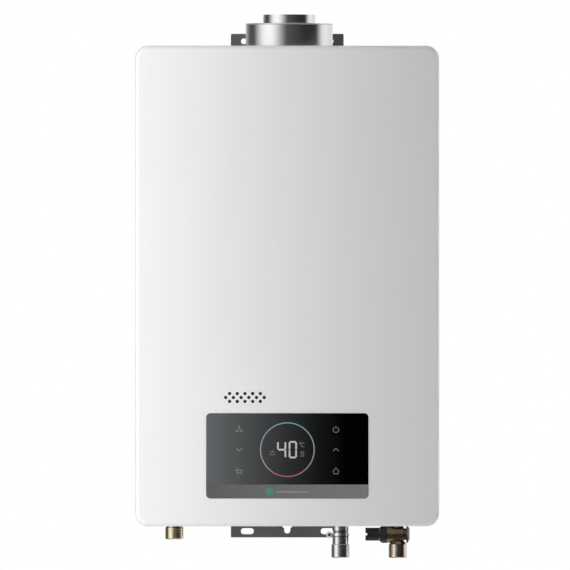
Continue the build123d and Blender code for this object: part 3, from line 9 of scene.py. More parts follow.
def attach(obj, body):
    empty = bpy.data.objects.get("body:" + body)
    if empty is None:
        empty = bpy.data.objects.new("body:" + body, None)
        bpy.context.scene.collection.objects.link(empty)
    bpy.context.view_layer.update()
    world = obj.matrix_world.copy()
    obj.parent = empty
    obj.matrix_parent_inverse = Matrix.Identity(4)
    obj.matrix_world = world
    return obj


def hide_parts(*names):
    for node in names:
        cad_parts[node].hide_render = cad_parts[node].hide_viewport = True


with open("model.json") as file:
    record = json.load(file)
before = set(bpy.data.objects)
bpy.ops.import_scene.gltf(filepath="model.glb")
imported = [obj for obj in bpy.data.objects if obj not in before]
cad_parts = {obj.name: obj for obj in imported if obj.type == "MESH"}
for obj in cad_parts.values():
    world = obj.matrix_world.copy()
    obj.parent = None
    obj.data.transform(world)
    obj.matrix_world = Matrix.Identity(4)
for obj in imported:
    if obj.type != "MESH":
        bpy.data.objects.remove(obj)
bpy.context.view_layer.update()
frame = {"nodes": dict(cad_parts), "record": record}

MM = 0.001


# Sizes, in millimetres

# Pipe thread, G1/2, and the rows of points in one pitch of its groove
THREAD_R = 10.4775
THREAD_PITCH = 1.814
THREAD_DEPTH = 0.05
THREAD_GROOVE_SHARE = 0.26
THREAD_ROWS = 14
THREAD_START_R = 9.2
THREAD_START = 1.0

# What the pipe ends share
WATER_BORE_R = 5.4
GAS_BORE_R = 6.0
FLANGE_R = 14.0
FLANGE_T = 4.0
FLANGE_EDGE = 0.4

# The rear case's sheet and the air collar
CASE_SHEET = 1.0
COLLAR_R = 50.0


# Places, in millimetres in the part's frame, taken from the solids

def span(node, axis):
    """A node's lowest and highest place along an axis, to a tenth of a millimetre."""
    index = "XYZ".index(axis)
    places = [vertex.co[index] / MM for vertex in frame["nodes"][node].data.vertices]
    return round(min(places), 1), round(max(places), 1)


def middle(node, axis):
    return round(sum(span(node, axis)) / 2, 1)


CASE_BOTTOM = span("front_cover", "Z")[0]
INNER_BOTTOM = span("rear_case", "Z")[0] + CASE_SHEET
GLASS_FRONT = span("panel_glass", "Y")[0]
PANEL_SIDES = span("panel_glass", "X")
PANEL_Z = (span("panel_band", "Z")[0] + span("panel_glass", "Z")[1]) / 2
DIAL_Z = PANEL_Z + 7.1
FLUE_X, FLUE_Y = middle("air_collar", "X"), middle("air_collar", "Y")
COLLAR_TOP = span("air_collar", "Z")[1]
HOT_X, WATER_Y = middle("hot_outlet", "X"), middle("hot_outlet", "Y")
HOT_LOW, HOT_TOP = span("hot_outlet", "Z")
GAS_X, GAS_Y = middle("gas_inlet", "X"), middle("gas_inlet", "Y")
GAS_LOW, GAS_TOP = span("gas_inlet", "Z")
COLD_LEFT, COLD_RIGHT = span("cold_inlet_body", "X")
COLD_X = COLD_RIGHT - FLANGE_R
COLD_LOW, COLD_TOP = span("cold_inlet_body", "Z")
COLD_AXIS_Z = middle("end_plug", "Z")

# The gas pipe's neck: the span of its two bands of painted shade, above and below the clip, and each
# band as shares of that span
SHADE_BAND_SPAN = (CASE_BOTTOM - 16, CASE_BOTTOM - 4)
SHADE_BANDS = ((0.20, 0.36), (0.70, 0.86))
SHADE_BAND_BLUR = 0.02
SHADE_BAND_TONE = 0.5

# The clip on the gas pipe: the step from its ear, whose white is a painted highlight, to its ring,
# and the black plug in the ear's hole, which is painted shade
CLIP_HIGHLIGHT_STEP = (GAS_X - 10.6, GAS_X - 10.2)
# A black plug in the ear's hole, as painted shade
HOLE_SHADE_X, HOLE_SHADE_Z = GAS_X - 13.0, middle("gas_clip", "Z")
HOLE_SHADE_R, HOLE_SHADE_L = 1.45, 3.0


# Shader nodes

EVEN = (1, 1, 1)
NOISE_SPAN = (0.25, 0.75)
PATCH_LOW, PATCH_HIGH = 0.3, 0.7
COAT_ROUGHNESS = 0.12


def new_material(name):
    mat = bpy.data.materials.new(name)
    mat.use_nodes = True
    tree = mat.node_tree
    return mat, tree, tree.nodes["Principled BSDF"]


def coordinates(tree, stretch=EVEN):
    """Object coordinates, drawn out along some axes for brushed and rolled finishes."""
    place = tree.nodes.new("ShaderNodeTexCoord")
    mapping = tree.nodes.new("ShaderNodeMapping")
    mapping.inputs["Scale"].default_value = stretch
    tree.links.new(place.outputs["Object"], mapping.inputs["Vector"])
    return mapping.outputs["Vector"]


def object_place(tree):
    """The object coordinates as separate X, Y and Z."""
    place = tree.nodes.new("ShaderNodeTexCoord")
    split = tree.nodes.new("ShaderNodeSeparateXYZ")
    tree.links.new(place.outputs["Object"], split.inputs["Vector"])
    return split.outputs


def noise(tree, vector, scale, detail=3.0, roughness=0.55):
    node = tree.nodes.new("ShaderNodeTexNoise")
    node.inputs["Scale"].default_value = scale
    node.inputs["Detail"].default_value = detail
    node.inputs["Roughness"].default_value = roughness
    tree.links.new(vector, node.inputs["Vector"])
    return node.outputs["Fac"]


def ramp(tree, value, stops):
    """Colours along a value from 0 to 1, given as stops of (place, colour)."""
    node = tree.nodes.new("ShaderNodeValToRGB")
    ends = node.color_ramp.elements
    while len(ends) < len(stops):
        ends.new(1.0)
    for end, (place, colour) in zip(ends, stops):
        end.position = place
        end.color = (*colour, 1.0)
    tree.links.new(value, node.inputs["Fac"])
    return node.outputs["Color"]


def between(tree, value, source, target=(0.0, 1.0)):
    """Carry a value over from one span to another."""
    node = tree.nodes.new("ShaderNodeMapRange")
    ends = ("From Min", "From Max", "To Min", "To Max")
    for end, number in zip(ends, (*source, *target)):
        node.inputs[end].default_value = number
    tree.links.new(value, node.inputs["Value"])
    return node.outputs["Result"]


def along(tree, axis, span_mm):
    """0 to 1 along an axis of the part, between two places in millimetres."""
    return between(tree, object_place(tree)[axis], [place * MM for place in span_mm])


def arithmetic(tree, operation, first, second):
    """A math node on two values, each a number or another node's output."""
    node = tree.nodes.new("ShaderNodeMath")
    node.operation = operation
    for socket, value in zip(node.inputs, (first, second)):
        if isinstance(value, bpy.types.NodeSocket):
            tree.links.new(value, socket)
        else:
            socket.default_value = value
    return node.outputs["Value"]


def mix_shaders(tree, share, first, second):
    """Two shaders mixed by a share from 0, all first, to 1, all second."""
    node = tree.nodes.new("ShaderNodeMixShader")
    tree.links.new(share, node.inputs["Fac"])
    tree.links.new(first, node.inputs[1])
    tree.links.new(second, node.inputs[2])
    return node.outputs["Shader"]


def bump(tree, shader, height, strength, depth_mm):
    node = tree.nodes.new("ShaderNodeBump")
    node.inputs["Strength"].default_value = strength
    node.inputs["Distance"].default_value = depth_mm * MM
    tree.links.new(height, node.inputs["Height"])
    tree.links.new(node.outputs["Normal"], shader.inputs["Normal"])


# Materials

def shade(colour, factor):
    return tuple(min(1.0, c * factor) for c in colour)


def surface(name, colour, metal, rough, patch, grain, relief, stretch=EVEN, coat=0.0):
    """A finish with broad patches of tone, fine grain in its roughness and a little relief."""
    mat, tree, shader = new_material(name)
    shader.inputs["Metallic"].default_value = metal
    if coat:
        shader.inputs["Coat Weight"].default_value = coat
        shader.inputs["Coat Roughness"].default_value = COAT_ROUGHNESS
    patch_scale, patch_amount = patch
    grain_scale, grain_amount = grain
    tone = noise(tree, coordinates(tree), patch_scale)
    dark, pale = shade(colour, 1 - patch_amount), shade(colour, 1 + patch_amount)
    tones = ramp(tree, tone, [(PATCH_LOW, dark), (PATCH_HIGH, pale)])
    tree.links.new(tones, shader.inputs["Base Color"])
    fine = noise(tree, coordinates(tree, stretch), grain_scale)
    gloss = between(tree, fine, NOISE_SPAN, (rough - grain_amount, rough + grain_amount))
    tree.links.new(gloss, shader.inputs["Roughness"])
    bump(tree, shader, fine, *relief)
    return mat


def galvanised(name, colour):
    """Zinc crystals: flat cells of slightly different tone and gloss."""
    mat, tree, shader = new_material(name)
    shader.inputs["Metallic"].default_value = 1.0
    plain = coordinates(tree)
    cells = tree.nodes.new("ShaderNodeTexVoronoi")
    cells.inputs["Scale"].default_value = 150.0
    tree.links.new(plain, cells.inputs["Vector"])
    split = tree.nodes.new("ShaderNodeSeparateColor")
    tree.links.new(cells.outputs["Color"], split.inputs["Color"])
    tones = [(0.1, shade(colour, 0.82)), (0.9, shade(colour, 1.16))]
    tree.links.new(ramp(tree, split.outputs["Red"], tones), shader.inputs["Base Color"])
    gloss = between(tree, split.outputs["Green"], NOISE_SPAN, (0.30, 0.44))
    tree.links.new(gloss, shader.inputs["Roughness"])
    bump(tree, shader, noise(tree, plain, scale=500.0), strength=0.10, depth_mm=0.05)
    return mat


def copper(name):
    """Bare copper with straw and purple heat tints and dull brown patches."""
    mat, tree, shader = new_material(name)
    shader.inputs["Metallic"].default_value = 1.0
    plain = coordinates(tree)
    tint = noise(tree, plain, scale=26.0, detail=4.0)
    brown, bare = (0.52, 0.24, 0.14), (0.80, 0.44, 0.27)
    straw, purple = (0.86, 0.53, 0.36), (0.70, 0.38, 0.30)
    tints = [(0.30, brown), (0.48, bare), (0.62, straw), (0.74, purple)]
    tree.links.new(ramp(tree, tint, tints), shader.inputs["Base Color"])
    fine = noise(tree, plain, scale=420.0)
    tree.links.new(between(tree, fine, NOISE_SPAN, (0.22, 0.40)), shader.inputs["Roughness"])
    bump(tree, shader, fine, strength=0.10, depth_mm=0.05)
    return mat


def circuit_board(name):
    """Green solder mask over tracks, which run in blocks."""
    mat, tree, shader = new_material(name)
    plain = coordinates(tree)
    turned = tree.nodes.new("ShaderNodeMapping")
    turned.inputs["Rotation"].default_value = (math.pi / 2, 0, 0)
    tree.links.new(plain, turned.inputs["Vector"])
    tracks = tree.nodes.new("ShaderNodeTexBrick")
    tracks.inputs["Scale"].default_value = 90.0
    tracks.inputs["Mortar Size"].default_value = 0.03
    tracks.inputs["Color1"].default_value = (0.012, 0.085, 0.035, 1)
    tracks.inputs["Color2"].default_value = (0.016, 0.110, 0.045, 1)
    tracks.inputs["Mortar"].default_value = (0.040, 0.200, 0.090, 1)
    tree.links.new(turned.outputs["Vector"], tracks.inputs["Vector"])
    tree.links.new(tracks.outputs["Color"], shader.inputs["Base Color"])
    fine = noise(tree, plain, scale=800.0)
    tree.links.new(between(tree, fine, NOISE_SPAN, (0.28, 0.42)), shader.inputs["Roughness"])
    bump(tree, shader, tracks.outputs["Fac"], strength=0.2, depth_mm=0.04)
    return mat


def black_glass(name):
    """Black back-printed glass: nearly clean, with a faint film that varies its gloss."""
    mat, tree, shader = new_material(name)
    shader.inputs["IOR"].default_value = 1.52
    plain = coordinates(tree)
    print_tone = noise(tree, plain, scale=30.0)
    dark, pale = (0.0005, 0.0005, 0.0006), (0.0009, 0.0009, 0.0011)
    tones = ramp(tree, print_tone, [(PATCH_LOW, dark), (PATCH_HIGH, pale)])
    tree.links.new(tones, shader.inputs["Base Color"])
    film = noise(tree, plain, scale=60.0, detail=5.0)
    tree.links.new(between(tree, film, NOISE_SPAN, (0.02, 0.05)), shader.inputs["Roughness"])
    return mat


def clip_plate_painted_highlight(name):
    """Bright plate on the clip's ring, and a painted highlight on its ear: the ear beside the gas
    pipe is white and not metal.
    """
    mat = surface(name, colour=(0.86, 0.86, 0.86), metal=1, rough=0.22,
                  patch=(60.0, 0.03), grain=(420.0, 0.05), relief=(0.05, 0.03))
    tree = mat.node_tree
    # Metal only on the ring's side; the ear's matt white is a painted highlight
    ring = along(tree, "X", CLIP_HIGHLIGHT_STEP)
    tree.links.new(ring, tree.nodes["Principled BSDF"].inputs["Metallic"])
    return mat


def plate_with_painted_shade(name):
    """Nickel plate with two bands of painted shade on the gas pipe's neck, above and below its clip.
    """
    mat = surface(name, *FINISHES["nickel_plate"])
    light = FINISHES["nickel_plate"][0]
    # dull is the painted shade in the two bands
    dull = shade(light, SHADE_BAND_TONE)
    stops = []
    for low, high in SHADE_BANDS:
        stops += [(low - SHADE_BAND_BLUR, light), (low + SHADE_BAND_BLUR, dull)]
        stops += [(high - SHADE_BAND_BLUR, dull), (high + SHADE_BAND_BLUR, light)]
    tree = mat.node_tree
    tones = ramp(tree, along(tree, "Z", SHADE_BAND_SPAN), stops)
    tree.links.new(tones, tree.nodes["Principled BSDF"].inputs["Base Color"])
    return mat


def band_with_painted_reflection(name, left, right):
    """Grey print with a painted reflection: it grows paler from left to right over the panel's
    width.
    """
    mat = surface(name, colour=left, metal=0, rough=0.38,
                  patch=(30.0, 0.04), grain=(900.0, 0.04), relief=(0.05, 0.02))
    tree = mat.node_tree
    # The pale right end is a painted reflection
    tones = ramp(tree, along(tree, "X", PANEL_SIDES), [(0.0, left), (1.0, right)])
    tree.links.new(tones, tree.nodes["Principled BSDF"].inputs["Base Color"])
    return mat


def lit(name, stops):
    """Black glass with a lamp behind it, whose colour follows the height over the dial."""
    half_span = 32
    mat = black_glass(name)
    tree = mat.node_tree
    shader = tree.nodes["Principled BSDF"]
    height = along(tree, "Z", (DIAL_Z - half_span, DIAL_Z + half_span))
    tree.links.new(ramp(tree, height, stops), shader.inputs["Emission Color"])
    shader.inputs["Emission Strength"].default_value = 1.0
    return mat


# For each finish its colour, metal and roughness, then the scale and amount of its patches
# and of its grain, and the strength and depth in millimetres of its relief
FINISHES = {
    "white_enamel": ((0.83, 0.83, 0.84), 0, 0.36, (6.0, 0.008), (750.0, 0.05), (0.05, 0.02)),
    "case_enamel": ((0.78, 0.78, 0.79), 0, 0.42, (8.0, 0.015), (700.0, 0.05), (0.08, 0.03)),
    "bracket_steel": ((0.30, 0.30, 0.31), 1, 0.42, (40.0, 0.12), (260.0, 0.10), (0.15, 0.05)),
    "zinc_steel": ((0.62, 0.63, 0.65), 1, 0.30, (60.0, 0.08), (500.0, 0.08), (0.10, 0.04)),
    "polished_stainless": ((0.74, 0.74, 0.75), 1, 0.17, (30.0, 0.03), (320.0, 0.035), (0.03, 0.02)),
    "bar_steel": ((0.46, 0.45, 0.45), 1, 0.42, (50.0, 0.15), (400.0, 0.10), (0.12, 0.05)),
    "plunger_steel": ((0.55, 0.55, 0.56), 1, 0.26, (60.0, 0.06), (420.0, 0.06), (0.06, 0.03)),
    "motor_steel": ((0.035, 0.035, 0.038), 0, 0.38, (40.0, 0.15), (700.0, 0.07), (0.15, 0.04)),
    "brass": ((0.72, 0.64, 0.44), 1, 0.12, (50.0, 0.06), (420.0, 0.05), (0.05, 0.03)),
    # A greyer, dimmer brass for the cold inlet's thread
    "dimmer_brass": ((0.66, 0.58, 0.44), 1, 0.14, (50.0, 0.08), (420.0, 0.05), (0.05, 0.03)),
    # A cast brass tone, darkened further as painted shade for the cold inlet's barrel under the
    # casing
    "dark_brass": ((0.29, 0.23, 0.15), 1, 0.30, (60.0, 0.22), (420.0, 0.10), (0.25, 0.08)),
    "aged_brass": ((0.17, 0.16, 0.13), 1, 0.34, (60.0, 0.20), (420.0, 0.10), (0.25, 0.08)),
    "nickel_plate": ((0.70, 0.70, 0.70), 1, 0.16, (40.0, 0.05), (420.0, 0.05), (0.05, 0.03)),
    "cast_aluminium": ((0.62, 0.63, 0.65), 1, 0.48, (30.0, 0.08), (650.0, 0.08), (0.45, 0.12)),
    "black_plastic": ((0.018, 0.018, 0.019), 0, 0.42, (60.0, 0.20), (1100.0, 0.07), (0.25, 0.05)),
    "grey_plastic": ((0.48, 0.49, 0.50), 0, 0.46, (25.0, 0.04), (1000.0, 0.05), (0.20, 0.04)),
    "rubber": ((0.022, 0.022, 0.022), 0, 0.68, (60.0, 0.25), (800.0, 0.08), (0.30, 0.06)),
    "foam_seal": ((0.09, 0.09, 0.09), 0, 0.88, (120.0, 0.25), (900.0, 0.05), (0.70, 0.20)),
    "white_ceramic": ((0.84, 0.82, 0.77), 0, 0.16, (60.0, 0.04), (300.0, 0.05), (0.04, 0.02)),
    "mark_print": ((0.28, 0.27, 0.28), 0, 0.5, (60.0, 0.05), (600.0, 0.05), (0.05, 0.02)),
}
BRUSH_X = (0.04, 1, 1)
BRUSH_Z = (1, 1, 0.04)
BRUSHED = {"bracket_steel": BRUSH_X, "bar_steel": BRUSH_X, "polished_stainless": BRUSH_Z}
COATED = {"white_enamel": 0.25, "motor_steel": 0.3}

MATERIALS = {
    "galvanised_sheet": galvanised("galvanised_sheet", (0.56, 0.57, 0.59)),
    "copper": copper("copper"),
    "circuit_board": circuit_board("circuit_board"),
    "black_glass": black_glass("black_glass"),
    # The band's grey at its left and right ends; the paler right is a painted reflection
    "grey_band": band_with_painted_reflection("grey_band", (0.094, 0.096, 0.098), (0.222, 0.226, 0.229)),
    "clip_plate_painted_highlight": clip_plate_painted_highlight("clip_plate_painted_highlight"),
    "plate_with_painted_shade": plate_with_painted_shade("plate_with_painted_shade"),
}
for finish, values in FINISHES.items():
    stretch, coat = BRUSHED.get(finish, EVEN), COATED.get(finish, 0.0)
    MATERIALS[finish] = surface(finish, *values, stretch, coat)

# Lamps behind the glass, from the foot of the dial to its top
RING_LIGHT = lit("ring_light", [
    (0.04, (0.36, 0.07, 0.16)),
    (0.26, (0.25, 0.23, 0.25)),
    (0.55, (0.24, 0.25, 0.26)),
    (0.80, (0.16, 0.26, 0.29)),
    (1.0, (0.12, 0.29, 0.33)),
])
DIGIT_LIGHT = lit("digit_light", [(0.0, (0.41, 0.42, 0.44)), (1.0, (0.46, 0.47, 0.49))])
ICON_LIGHT = lit("icon_light", [(0.0, (0.13, 0.13, 0.135)), (1.0, (0.14, 0.14, 0.145))])
LED_LIGHT = lit("led_light", [(0.0, (0.03, 0.20, 0.14)), (1.0, (0.03, 0.20, 0.14))])

# Nodes that don't take the plain finish of their slot
NODE_FINISH = {"gas_clip": "clip_plate_painted_highlight", "end_plug": "aged_brass"}

for entry in frame["record"]["subparts"]:
    mesh = frame["nodes"][entry["node"]].data
    mesh.materials.clear()
    mesh.materials.append(MATERIALS[NODE_FINISH.get(entry["node"], entry["material_slot"])])


# Shapes

# Heights this close count as the same
SAME = 1e-6


def add_piece(name, bm, body, material, smooth_deg=30.0):
    """Turn a bmesh drawn in millimetres into a piece that rides on a body."""
    bmesh.ops.recalc_face_normals(bm, faces=bm.faces[:])
    mesh = bpy.data.meshes.new(name)
    bm.to_mesh(mesh)
    bm.free()
    mesh.transform(Matrix.Scale(MM, 4))
    mesh.materials.append(material)
    obj = bpy.data.objects.new(name, mesh)
    bpy.context.scene.collection.objects.link(obj)
    smooth(obj, smooth_deg)
    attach(obj, body)
    return obj


def replace(piece, *nodes):
    """Show a piece in place of the solids that it stands for."""
    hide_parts(*nodes)


def smooth(obj, degrees):
    """Smooth shading with sharp edges where faces meet at more than an angle."""
    for face in obj.data.polygons:
        face.use_smooth = True
    obj.data.set_sharp_from_angle(angle=math.radians(degrees))


def on_circle(x, z, radius, degrees):
    """The point on a circle at an angle."""
    angle = math.radians(degrees)
    return x + radius * math.cos(angle), z + radius * math.sin(angle)


def circle(x, z, radius, steps):
    return [on_circle(x, z, radius, 360 * i / steps) for i in range(steps)]


def on_thread(start, end, thread):
    """Whether a stretch of a profile lies along the thread."""
    if not thread or not start[0] == end[0] == THREAD_R:
        return False
    low, high = sorted((start[1], end[1]))
    return low >= thread[0] - SAME and high <= thread[1] + SAME


def thread_cut(z, turn, low, high):
    """How far the thread's flank lies under its crest, with the ends run out."""
    phase = (z / THREAD_PITCH - turn) % 1.0
    flank = max(0.0, 1 - abs(2 * phase - 1) / THREAD_GROOVE_SHARE)
    fade = min(1.0, max(0.0, (z - low) / THREAD_PITCH), max(0.0, (high - z) / THREAD_PITCH))
    return THREAD_DEPTH * flank * fade


def lathe_rows(profile, thread):
    """The profile's points as (radius, height, whether the thread is cut there)."""
    rows = []
    for start, end in zip(profile, profile[1:]):
        (r0, z0), (r1, z1) = start, end
        cut = on_thread(start, end, thread)
        count = max(1, round(abs(z1 - z0) / THREAD_PITCH * THREAD_ROWS)) if cut else 1
        for i in range(count):
            rows.append((r0 + (r1 - r0) * i / count, z0 + (z1 - z0) * i / count, cut))
    rows.append((*profile[-1], False))
    return rows


def lathe(profile, at, steps=96, thread=None, solid=False):
    """Spin a profile of (radius, height) about Z; a thread span gets a helical groove."""
    bm = bmesh.new()
    rings = []
    for r, z, cut in lathe_rows(profile, thread):
        ring = []
        for i in range(steps if r else 1):
            turn = i / steps
            radius = r - thread_cut(z, turn, *thread) if cut else r
            ring.append(bm.verts.new((*on_circle(*at, radius, 360 * turn), z)))
        rings.append(ring)
    pairs = list(zip(rings, rings[1:]))
    if not solid:
        pairs.append((rings[-1], rings[0]))
    for a, b in pairs:
        for i in range(steps):
            j = (i + 1) % steps
            corners = [a[i % len(a)], a[j % len(a)], b[j % len(b)], b[i % len(b)]]
            face = list(dict.fromkeys(corners))
            if len(face) > 2:
                bm.faces.new(face)
    return bm


def turn_to_x(bm, origin):
    """Lay a lathe made about Z at the origin along X through a point."""
    matrix = Matrix.Translation(origin) @ Matrix.Rotation(math.pi / 2, 4, "Y")
    bmesh.ops.transform(bm, matrix=matrix, verts=bm.verts[:])
    return bm


def loose(bm):
    """A passing object for a boolean."""
    bmesh.ops.recalc_face_normals(bm, faces=bm.faces[:])
    mesh = bpy.data.meshes.new("loose")
    bm.to_mesh(mesh)
    bm.free()
    obj = bpy.data.objects.new("loose", mesh)
    bpy.context.scene.collection.objects.link(obj)
    return obj


def combine(first, others):
    """Join and cut bmeshes by exact booleans and return the result."""
    base = loose(first)
    tools = []
    for operation, bm in others:
        tool = loose(bm)
        tools.append(tool)
        step = base.modifiers.new(operation, "BOOLEAN")
        step.operation = operation
        step.solver = "EXACT"
        step.object = tool
    graph = bpy.context.evaluated_depsgraph_get()
    done = bmesh.new()
    done.from_mesh(base.evaluated_get(graph).to_mesh())
    for obj in [base, *tools]:
        bpy.data.objects.remove(obj)
    return done


# Pipe ends, as profiles of (radius, height)

def threaded_end(bore_r, low, thread_top):
    """The mouth of a pipe end, its chamfer and its thread."""
    start = low + THREAD_START
    return [(bore_r, low), (THREAD_START_R, low), (THREAD_R, start), (THREAD_R, thread_top)]


def flange(below_r, above_r):
    """The flange on the casing's floor, between the pipe's radius below and above it."""
    top = INNER_BOTTOM + FLANGE_T
    return [(below_r, INNER_BOTTOM), (FLANGE_R, INNER_BOTTOM), (FLANGE_R, top - FLANGE_EDGE),
            (FLANGE_R - FLANGE_EDGE, top), (above_r, top)]


def hot_outlet_piece():
    neck, neck_r, neck_slope = CASE_BOTTOM - 2.0, 9.4, 0.6
    thread = (HOT_LOW + THREAD_START, neck - neck_slope)
    pipe_r, pipe_edge = 9, 0.5
    socket_r, socket_foot = 6.4, HOT_TOP - 6
    profile = [*threaded_end(WATER_BORE_R, HOT_LOW, thread[1]), (neck_r, neck),
               *flange(neck_r, pipe_r),
               (pipe_r, HOT_TOP - pipe_edge), (pipe_r - pipe_edge, HOT_TOP),
               (socket_r, HOT_TOP), (socket_r, socket_foot), (WATER_BORE_R, socket_foot)]
    bm = lathe(profile, (HOT_X, WATER_Y), thread=thread)
    piece = add_piece("hot_outlet_turned", bm, "heater_body", MATERIALS["brass"])
    replace(piece, "hot_outlet")


def gas_inlet_piece():
    shoulder, shoulder_edge, run_out = GAS_LOW + 16, 0.6, 1.2
    neck_r = 9.3
    thread = (GAS_LOW + THREAD_START, shoulder - run_out)
    groove_top, groove_side, groove_floor, groove_depth = CASE_BOTTOM - 6.0, 0.7, 1.0, 0.7
    groove_high = groove_top - groove_side
    groove_low = groove_high - groove_floor
    profile = [*threaded_end(GAS_BORE_R, GAS_LOW, thread[1]),
               (THREAD_R, shoulder - shoulder_edge), (neck_r, shoulder),
               (neck_r, groove_low - groove_side), (neck_r - groove_depth, groove_low),
               (neck_r - groove_depth, groove_high), (neck_r, groove_top),
               *flange(neck_r, neck_r),
               (neck_r, GAS_TOP), (GAS_BORE_R, GAS_TOP)]
    bm = lathe(profile, (GAS_X, GAS_Y), thread=thread)
    # The neck's plate carries two bands of painted shade beside the clip
    plate = MATERIALS["plate_with_painted_shade"]
    piece = add_piece("gas_inlet_turned", bm, "heater_body", plate)
    replace(piece, "gas_inlet")


def cold_inlet_pieces():
    """The forged cross and its turned thread end."""
    at = (COLD_X, WATER_Y)
    shoulder, shoulder_r, shoulder_edge, run_out = COLD_LOW + 16.2, 9.5, 0.5, 4.8
    thread = (COLD_LOW + THREAD_START, shoulder - run_out)
    end = [*threaded_end(WATER_BORE_R, COLD_LOW, thread[1]), (THREAD_R, shoulder - shoulder_edge),
           (shoulder_r, shoulder), (WATER_BORE_R, shoulder)]
    turned = lathe(end, at, thread=thread)
    add_piece("cold_inlet_thread", turned, "heater_body", MATERIALS["dimmer_brass"])

    neck, neck_r = shoulder + 4.1, 6.6
    riser_r = 9.2
    upright = [(0, shoulder), (shoulder_r, shoulder), (neck_r, neck),
               *flange(neck_r, riser_r),
               (riser_r, COLD_TOP), (0, COLD_TOP)]
    spigot, spigot_r, spigot_l = COLD_LEFT - COLD_X, 8, 5.4
    left, right = spigot + spigot_l, 6.7
    barrel_r, barrel_edge = 9.9, 0.4
    barrel = [(0, spigot), (spigot_r, spigot), (spigot_r, left), (barrel_r - barrel_edge, left),
              (barrel_r, left + barrel_edge), (barrel_r, right - barrel_edge),
              (barrel_r - barrel_edge, right), (0, right)]
    past, bore_r = 1, 7
    bore = [(0, spigot - past), (bore_r, spigot - past), (bore_r, right + past), (0, right + past)]
    way_top = COLD_TOP + past
    way = [(0, COLD_LOW), (WATER_BORE_R, COLD_LOW), (WATER_BORE_R, way_top), (0, way_top)]
    centre = Vector((COLD_X, WATER_Y, COLD_AXIS_Z))
    origin = (0, 0)
    forged = combine(lathe(upright, at, solid=True), [
        ("UNION", turn_to_x(lathe(barrel, origin, solid=True), centre)),
        ("DIFFERENCE", turn_to_x(lathe(bore, origin, solid=True), centre)),
        ("DIFFERENCE", lathe(way, at, solid=True)),
    ])
    # The forged cross takes the brass darkened as painted shade
    brass = MATERIALS["dark_brass"]
    piece = add_piece("cold_inlet_forged", forged, "heater_body", brass)
    replace(piece, "cold_inlet_body")


def clip_hole_shade_plug():
    """A black plug in the hole of the clip's ear: painted shade for the hole."""
    centre = Matrix.Translation((HOLE_SHADE_X, GAS_Y, HOLE_SHADE_Z))
    place = centre @ Matrix.Rotation(math.pi / 2, 4, "X")
    bm = bmesh.new()
    bmesh.ops.create_cone(bm, cap_ends=True, segments=32, radius1=HOLE_SHADE_R,
                          radius2=HOLE_SHADE_R, depth=HOLE_SHADE_L, matrix=place)
    add_piece("clip_hole_shade_plug", bm, "heater_body", MATERIALS["black_plastic"])


def collar_bead():
    """The rolled edge on the air collar."""
    bead_r, inset, rise = 0.8, 0.2, 0.1
    profile = circle(COLLAR_R - inset, COLLAR_TOP - bead_r + rise, bead_r, steps=14)
    bm = lathe(profile, (FLUE_X, FLUE_Y), steps=144)
    steel = MATERIALS["polished_stainless"]
    add_piece("air_collar_bead", bm, "heater_body", steel, smooth_deg=60)


# Marks on the touch panel, drawn flat in X and Z

MARK_THICK = 0.08
MITRE_LIMIT = 0.4
FINE, LINE, BOLD = 0.8, 0.9, 1.0


def ribbon(bm, points, width, closed=False):
    """A flat stroke of even width along a line of points."""
    count = len(points)
    sides = []
    for i, (x, z) in enumerate(points):
        before = points[i - 1] if i or closed else points[i]
        after = points[(i + 1) % count] if i < count - 1 or closed else points[i]
        a = Vector((x - before[0], z - before[1]))
        b = Vector((after[0] - x, after[1] - z))
        a = a.normalized() if a.length else b.normalized()
        b = b.normalized() if b.length else a
        normal = Vector((-(a + b).y, (a + b).x)).normalized()
        reach = width / 2 / max(MITRE_LIMIT, normal.dot(Vector((-a.y, a.x))))
        across = normal * reach
        sides.append([bm.verts.new((x + s * across.x, 0, z + s * across.y)) for s in (-1, 1)])
    steps = count if closed else count - 1
    for i in range(steps):
        p, q = sides[i], sides[(i + 1) % count]
        bm.faces.new((p[0], q[0], q[1], p[1]))


def stroke(bm, x, z, points, width=LINE):
    """A ribbon through points given from a symbol's place."""
    ribbon(bm, [(x + dx, z + dz) for dx, dz in points], width)


def arc(x, z, radius, start, end, steps):
    return [on_circle(x, z, radius, start + (end - start) * i / steps) for i in range(steps + 1)]


def fill(bm, outline):
    bm.faces.new([bm.verts.new((x, 0, z)) for x, z in outline])


def disc(bm, x, z, radius):
    fill(bm, circle(x, z, radius, steps=12))


def pill(bm, x0, x1, z0, z1, radius, steps=6):
    """A bar with round corners."""
    left, right, low, high = x0 + radius, x1 - radius, z0 + radius, z1 - radius
    outline = []
    for corner, (x, z) in enumerate(((right, high), (left, high), (left, low), (right, low))):
        outline += arc(x, z, radius, 90 * corner, 90 * corner + 90, steps)
    fill(bm, outline)


def mark(name, bm, material):
    """Give flat strokes a little thickness and set them on the glass."""
    front = bm.faces[:]
    made = bmesh.ops.extrude_face_region(bm, geom=front)
    moved = [g for g in made["geom"] if isinstance(g, bmesh.types.BMVert)]
    bmesh.ops.translate(bm, verts=moved, vec=(0, -MARK_THICK, 0))
    bmesh.ops.translate(bm, verts=bm.verts[:], vec=(0, GLASS_FRONT, 0))
    add_piece(name, bm, "cover", material)


def segment_digit(bm, left, right, low, high, lit_segments, width):
    mid = (low + high) / 2
    gap_share = 0.2
    gap = width * gap_share
    lines = {
        "a": [(left + gap, high), (right - gap, high)],
        "b": [(right, high - gap), (right, mid + gap)],
        "c": [(right, mid - gap), (right, low + gap)],
        "d": [(left + gap, low), (right - gap, low)],
        "e": [(left, mid - gap), (left, low + gap)],
        "f": [(left, high - gap), (left, mid + gap)],
        "g": [(left + gap, mid), (right - gap, mid)],
    }
    for key in lit_segments:
        ribbon(bm, lines[key], width)


